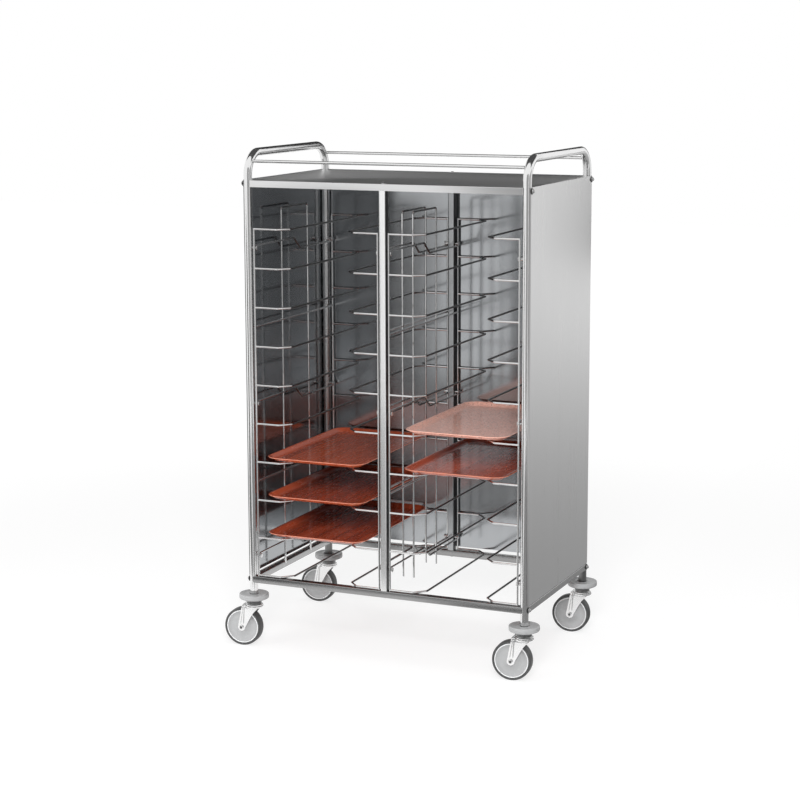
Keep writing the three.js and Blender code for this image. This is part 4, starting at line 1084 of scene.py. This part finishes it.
def shoulder():
    """The raised rear of the fork's crown, which stands round the swivel head."""
    loops = []
    for inset, z in SHOULDER_SECTION:
        outline = arc((0, 0), SHOULDER_RADIUS + inset * 0.4, 226, 134, 14)
        x, y = FORK_BACK + inset + SHOULDER_CORNER, FORK_HALF + FORK_SHEET - inset - SHOULDER_CORNER
        outline += arc((x, y), SHOULDER_CORNER, 90, 180, 5)
        outline += arc((x, -y), SHOULDER_CORNER, 180, 270, 5)
        loops.append([(u, v, z) for u, v in outline])
    return skin(loops)


def combined(parts):
    """Parts that make one piece together, as one list of points and one of faces."""
    points, faces = [], []
    for some_points, some_faces in parts:
        faces += [tuple(k + len(points) for k in f) for f in some_faces]
        points += some_points
    return points, faces


def crown_bridge():
    """The flat sheet between the tops of the two cheeks, under the round crown."""
    middle = (FORK_BACK + FORK_TOE) / 2
    outline = square_outline(FORK_TOE - FORK_BACK, 2 * FORK_HALF, BRIDGE_CORNER)
    heights = CROWN_BOTTOM, CROWN_TOP - BRIDGE_DROP
    return skin([[(middle + u, v, z) for u, v in outline] for z in heights])


print("cheek faces:", len(cheek(1)[1]))

# %% [markdown]
# The ball race shows as a row of bright balls in the dark gap under the swivel head. They repeat
# round a circle, so a third small tree sets them out.

# %% A tree for a ring of balls
ball_tree = new_tree("ring of balls", {
    "Ball Count": "Int", "Race Radius": "Float", "Ball Radius": "Float", "Finish": "Material",
})
start = grow(ball_tree, "NodeGroupInput")
ring = grow(
    ball_tree, "GeometryNodeMeshCircle",
    Vertices=start.outputs["Ball Count"], Radius=start.outputs["Race Radius"],
)
ball = grow(
    ball_tree, "GeometryNodeMeshUVSphere",
    Segments=12, Rings=8, Radius=start.outputs["Ball Radius"],
)
set_out = grow(ball_tree, "GeometryNodeInstanceOnPoints", Points=ring.outputs[0], Instance=ball.outputs[0])
end_tree(ball_tree, set_out.outputs[0], start)
RACE = {"Ball Count": 18, "Race Radius": 0.0246, "Ball Radius": 0.0018, "Finish": FINISHES["fastener"]}
print("balls in a race:", RACE["Ball Count"])

# %% [markdown]
# Every corner gets the same seven drawn parts and a ring of balls. The wheel's parts are drawn about
# Z and laid onto the axle first. Some parts take a function that paints shade into their steel,
# darker and rougher: a painted dark reflection on the neck of the swivel head, and painted shade on
# the slopes beside the fork's rib and in the dimple in the axle's head.


# %% Castors at the four corners
# Painted dark reflection on the neck of the swivel head.
def painted_dark_neck(x, y, z):
    return 0.9 if NECK_BOTTOM < z < NECK_TOP else 0.0


# Painted shade in the slopes beside the fork's rib.
def painted_flank_shade(x, y, z):
    return rib_flank_shade(x, z) if z < CROWN_BOTTOM - 0.001 else 0.0


# Painted shade in the dimple of the axle's head.
def painted_dimple_shade(x, y, z):
    return 1.0 if math.hypot(x, y) < DIMPLE_RADIUS else 0.0


def castor_piece(name, parts, place, body, slot, nodes, finish=None, painted_shade_at=None):
    """Its last argument, a function of (x, y, z), says how much shade is painted on the steel at a point of
    the part as drawn.
    """
    points, faces = parts
    made = outward(piece_of(name, [place @ Vector(p) for p in points], faces))
    if painted_shade_at:
        mark(made.data, "painted_shade", [painted_shade_at(*p) for p in points])
    dress(made, body, slot, *nodes, finish=finish)


NECK_BOTTOM, NECK_TOP, DIMPLE_RADIUS = 0.1335, 0.1425, 0.0034
UPRIGHT = Matrix()
ON_AXLE = Matrix.Translation((-CASTOR_TRAIL, 0, WHEEL_RADIUS)) @ Matrix.Rotation(math.pi / 2, 4, "X")
fork = combined([turned(CROWN, 56), cheek(-1), cheek(1), crown_bridge(), shoulder()])
# A piece's name, its drawn part and how it lies; then its body, slot and node, and other settings.
CASTOR_PARTS = [
    ("ring_bumper", turned(BUMPER, 72), UPRIGHT, "cart", "bumper", "bumper", {}),
    ("head", turned(SWIVEL_HEAD, 56), UPRIGHT, "cart", "castor_steel", "swivel_head", {"painted_shade_at": painted_dark_neck}),
    ("pressed_fork", fork, UPRIGHT, "castor", "castor_steel", "fork", {"painted_shade_at": painted_flank_shade}),
    ("axle_bolt", turned(AXLE, 32), ON_AXLE, "castor", "castor_steel", "axle", {"painted_shade_at": painted_dimple_shade}),
    ("rubber", turned(TYRE, 96), ON_AXLE, "wheel", "tyre", "tyre", {}),
    ("disc", turned(WHEEL_CENTRE, 96), ON_AXLE, "wheel", "wheel_centre", "wheel_centre", {}),
    ("lip", turned(WHEEL_LIP, 96), ON_AXLE, "wheel", "wheel_centre", None, {"finish": LIGHT_LIP}),
]
for side, sx in SIDES.items():
    for end, sy in ENDS.items():
        key = f"{end}_{side}"
        corner = Matrix.Translation((sx * POST_X, sy * POST_Y, 0)) @ Matrix.Rotation(CASTOR_TURN, 4, "Z")
        for name, parts, lie, rides, slot, node, settings in CASTOR_PARTS:
            body = "cart" if rides == "cart" else f"{key}_{rides}"
            nodes = [f"{key}_{node}"] if node else []
            castor_piece(f"{key}_{name}", parts, corner @ lie, body, slot, nodes, **settings)
        balls = grown(f"{key}_balls", bpy.data.meshes.new(f"{key}_race"), ball_tree, **RACE)
        balls.data.transform(corner @ Matrix.Translation((0, 0, RACE_MIDDLE)))
        dress(balls, "cart", "castor_steel", finish=FINISHES["fastener"])
print("castors:", len(SIDES) * len(ENDS))

# %% [markdown]
# The camera looks slightly down, where the real one was level with its picture shifted. A shift
# that large would push the cart out of every other view, so the lens takes a small shift and the
# rest is tilt. Its place was solved from the photograph's own points.

# %% Camera
YAW, PITCH, ROLL = (math.radians(a) for a in (23.693, 9.302, -0.184))
CAMERA_PLACE = (2.3582, -5.5227, 1.8365)
FOCAL_PIXELS, IMAGE_PIXELS, SENSOR_MM = 1996.1, 800, 36
camera = bpy.data.objects.new("camera", bpy.data.cameras.new("camera"))
camera.data.sensor_width = SENSOR_MM
camera.data.lens = FOCAL_PIXELS / IMAGE_PIXELS * SENSOR_MM
camera.data.shift_y = -0.04
camera.data.clip_end = 100
upright = Matrix.Rotation(YAW, 4, "Z") @ Matrix.Rotation(math.pi / 2 - PITCH, 4, "X")
camera.matrix_world = Matrix.Translation(CAMERA_PLACE) @ (upright @ Matrix.Rotation(ROLL, 4, "Z"))
bpy.context.scene.collection.objects.link(camera)
bpy.context.scene.camera = camera
print("lens:", round(camera.data.lens, 1), "mm")

# %% [markdown]
# Polished metal shows its surroundings, so what stands round the cart matters more than the lamps.
# The room is white. Eleven boards stand and lie in it that only reflections see. The dark ones
# give the tube its streaks and the left bay its deep grey, the grey ones keep the side sheet, the
# rails and the right bay from turning white, and one bright band is mirrored by the top shelf.
# A board's tones are how bright it is near the cart and, where it changes, far from it.


# %% Studio: boards that only reflections see
def stage_board(name, corners, near_tone, far_tone=None):
    """A flat board that only reflections see."""
    board = piece_of(name, corners, [(0, 1, 2, 3)])
    finish = Finish(name, Base_Color=(0, 0, 0, 1), Specular_IOR_Level=0, Emission_Strength=1)
    away = finish.between(finish.from_middle(), 0.8, 9.0)
    finish.set(Emission_Color=finish.mix(away, grey(near_tone), grey(far_tone or near_tone)))
    board.data.materials.append(finish.material)
    board.visible_camera = board.visible_diffuse = board.visible_shadow = False
    board.visible_transmission = board.visible_volume_scatter = False


def lying(height, *corners):
    return [(x, y, height) for x, y in corners]


def on_floor(*corners):
    return lying(0.004, *corners)


def standing(start, end, bottom, top):
    return [(*start, bottom), (*end, bottom), (*end, top), (*start, top)]


REAR_Y, CEILING = 2.7, 3.3
rear_board = [(x, REAR_Y, z) for x, z in ((-2.9, 0.9), (1.24, 0.9), (0.13, CEILING), (-2.9, CEILING))]
BOARDS = {
    "grey_behind_camera": (standing((4.4, -3.6), (0.1, -5.0), 0.0, 4.0), 0.36),
    "grey_right": (standing((5.0, 2.5), (5.0, -3.0), 0.0, 3.0), 0.45),
    "dark_behind_cart": (rear_board, 0.04),
    "shelf_glow": (standing((-2.9, 2.6), (0.3, 2.6), 1.30, 1.68), 1.0),
    "dark_overhead": (lying(CEILING, (-3.2, -0.5), (3.0, -0.5), (3.0, REAR_Y), (-3.2, REAR_Y)), 0.08),
    "dark_front_left": (standing((-3.2, -2.7), (-1.3, -2.7), 0.0, 1.1), 0.14),
    "dark_floor_left": (on_floor((-0.60, -0.95), (-1.28, -2.6), (-3.4, -2.6), (-2.6, -0.95)), 0.14),
    "grey_floor_front": (on_floor((-0.64, -1.05), (0.0, -1.05), (-1.0, -4.0), (-1.9, -4.0)), 0.36),
    "grey_floor_right": (on_floor((-0.05, -0.7), (2.6, -0.7), (4.2, -3.5), (0.4, -3.5)), 0.25),
    "grey_floor_beside": (on_floor((0.60, -0.7), (2.6, -0.7), (2.6, 0.2), (0.60, 0.2)), 0.25),
    "grey_floor_rear": (on_floor((0.3, 0.2), (8.0, 0.2), (9.0, 13.0), (0.3, 13.0)), 0.38, 0.97),
}
for name, (corners, *tones) in BOARDS.items():
    stage_board(name, corners, *tones)
print("boards:", len(BOARDS))

# %% [markdown]
# The floor and the room are plain white to whoever looks at them, straight or in a mirror. For the
# rays that only carry light the floor is a pale grey and the room is dim, so that the lamps model
# the cart. Near the cart the floor glows a little less, which leaves it a soft shadow. The lamps
# themselves are never mirrored.

# %% Studio: floor, room and lamps
FLOOR_REACH, ROOM_LIGHT = 14, 0.34
BLACK, WHITE = (0, 0, 0), (1, 1, 1)
floor_corners = [(FLOOR_REACH * x, FLOOR_REACH * y, 0) for x, y in ((-1, -1), (1, -1), (1, 1), (-1, 1))]
floor = piece_of("floor", floor_corners, [(0, 1, 2, 3)])
paint = Finish("pale_floor", Roughness=0.9, Specular_IOR_Level=0.1, Emission_Strength=1)
seen = paint.seen()
far = paint.between(paint.from_middle(), 1.2, 3.2)
paint.set(
    Emission_Color=paint.mix(seen * (far * 0.25 + 0.74), BLACK, WHITE),
    Base_Color=paint.mix(0.80 - seen * (far * 0.30 + 0.50), BLACK, WHITE),
)
floor.data.materials.append(paint.material)

world = bpy.data.worlds.new("white room")
world.use_nodes = True
bpy.context.scene.world = world
room = Nodes(world.node_tree)
background = world.node_tree.nodes["Background"]
background.inputs["Color"].default_value = (1, 1, 1, 1)
strength = room.node("ShaderNodeMapRange", None, {"Value": room.seen(), "To Min": ROOM_LIGHT})
room.feed(background.inputs["Strength"], strength)


def lamp(name, place, target, size, power):
    """A soft rectangular lamp that shines towards its target. Sizes in metres, power in watts."""
    made = bpy.data.objects.new(name, bpy.data.lights.new(name, "AREA"))
    made.data.shape = "RECTANGLE"
    made.data.size, made.data.size_y = size
    made.data.energy = power
    turn = (Vector(target) - Vector(place)).to_track_quat("-Z", "Y").to_matrix().to_4x4()
    made.matrix_world = Matrix.Translation(place) @ turn
    made.visible_camera = made.visible_glossy = False
    bpy.context.scene.collection.objects.link(made)


lamp("key_front_right", (1.7, -4.3, 2.7), (0, 0, 0.6), (1.5, 1.5), 205)
lamp("low_left", (-1.9, -1.9, 0.42), (-0.45, -0.25, 0.12), (0.7, 0.5), 22)
lamp("top_fill", (0.3, -0.2, 3.6), (0, 0, 0), (3.0, 3.0), 45)
bpy.context.scene.view_settings.view_transform = "Standard"
print("view transform:", bpy.context.scene.view_settings.view_transform)
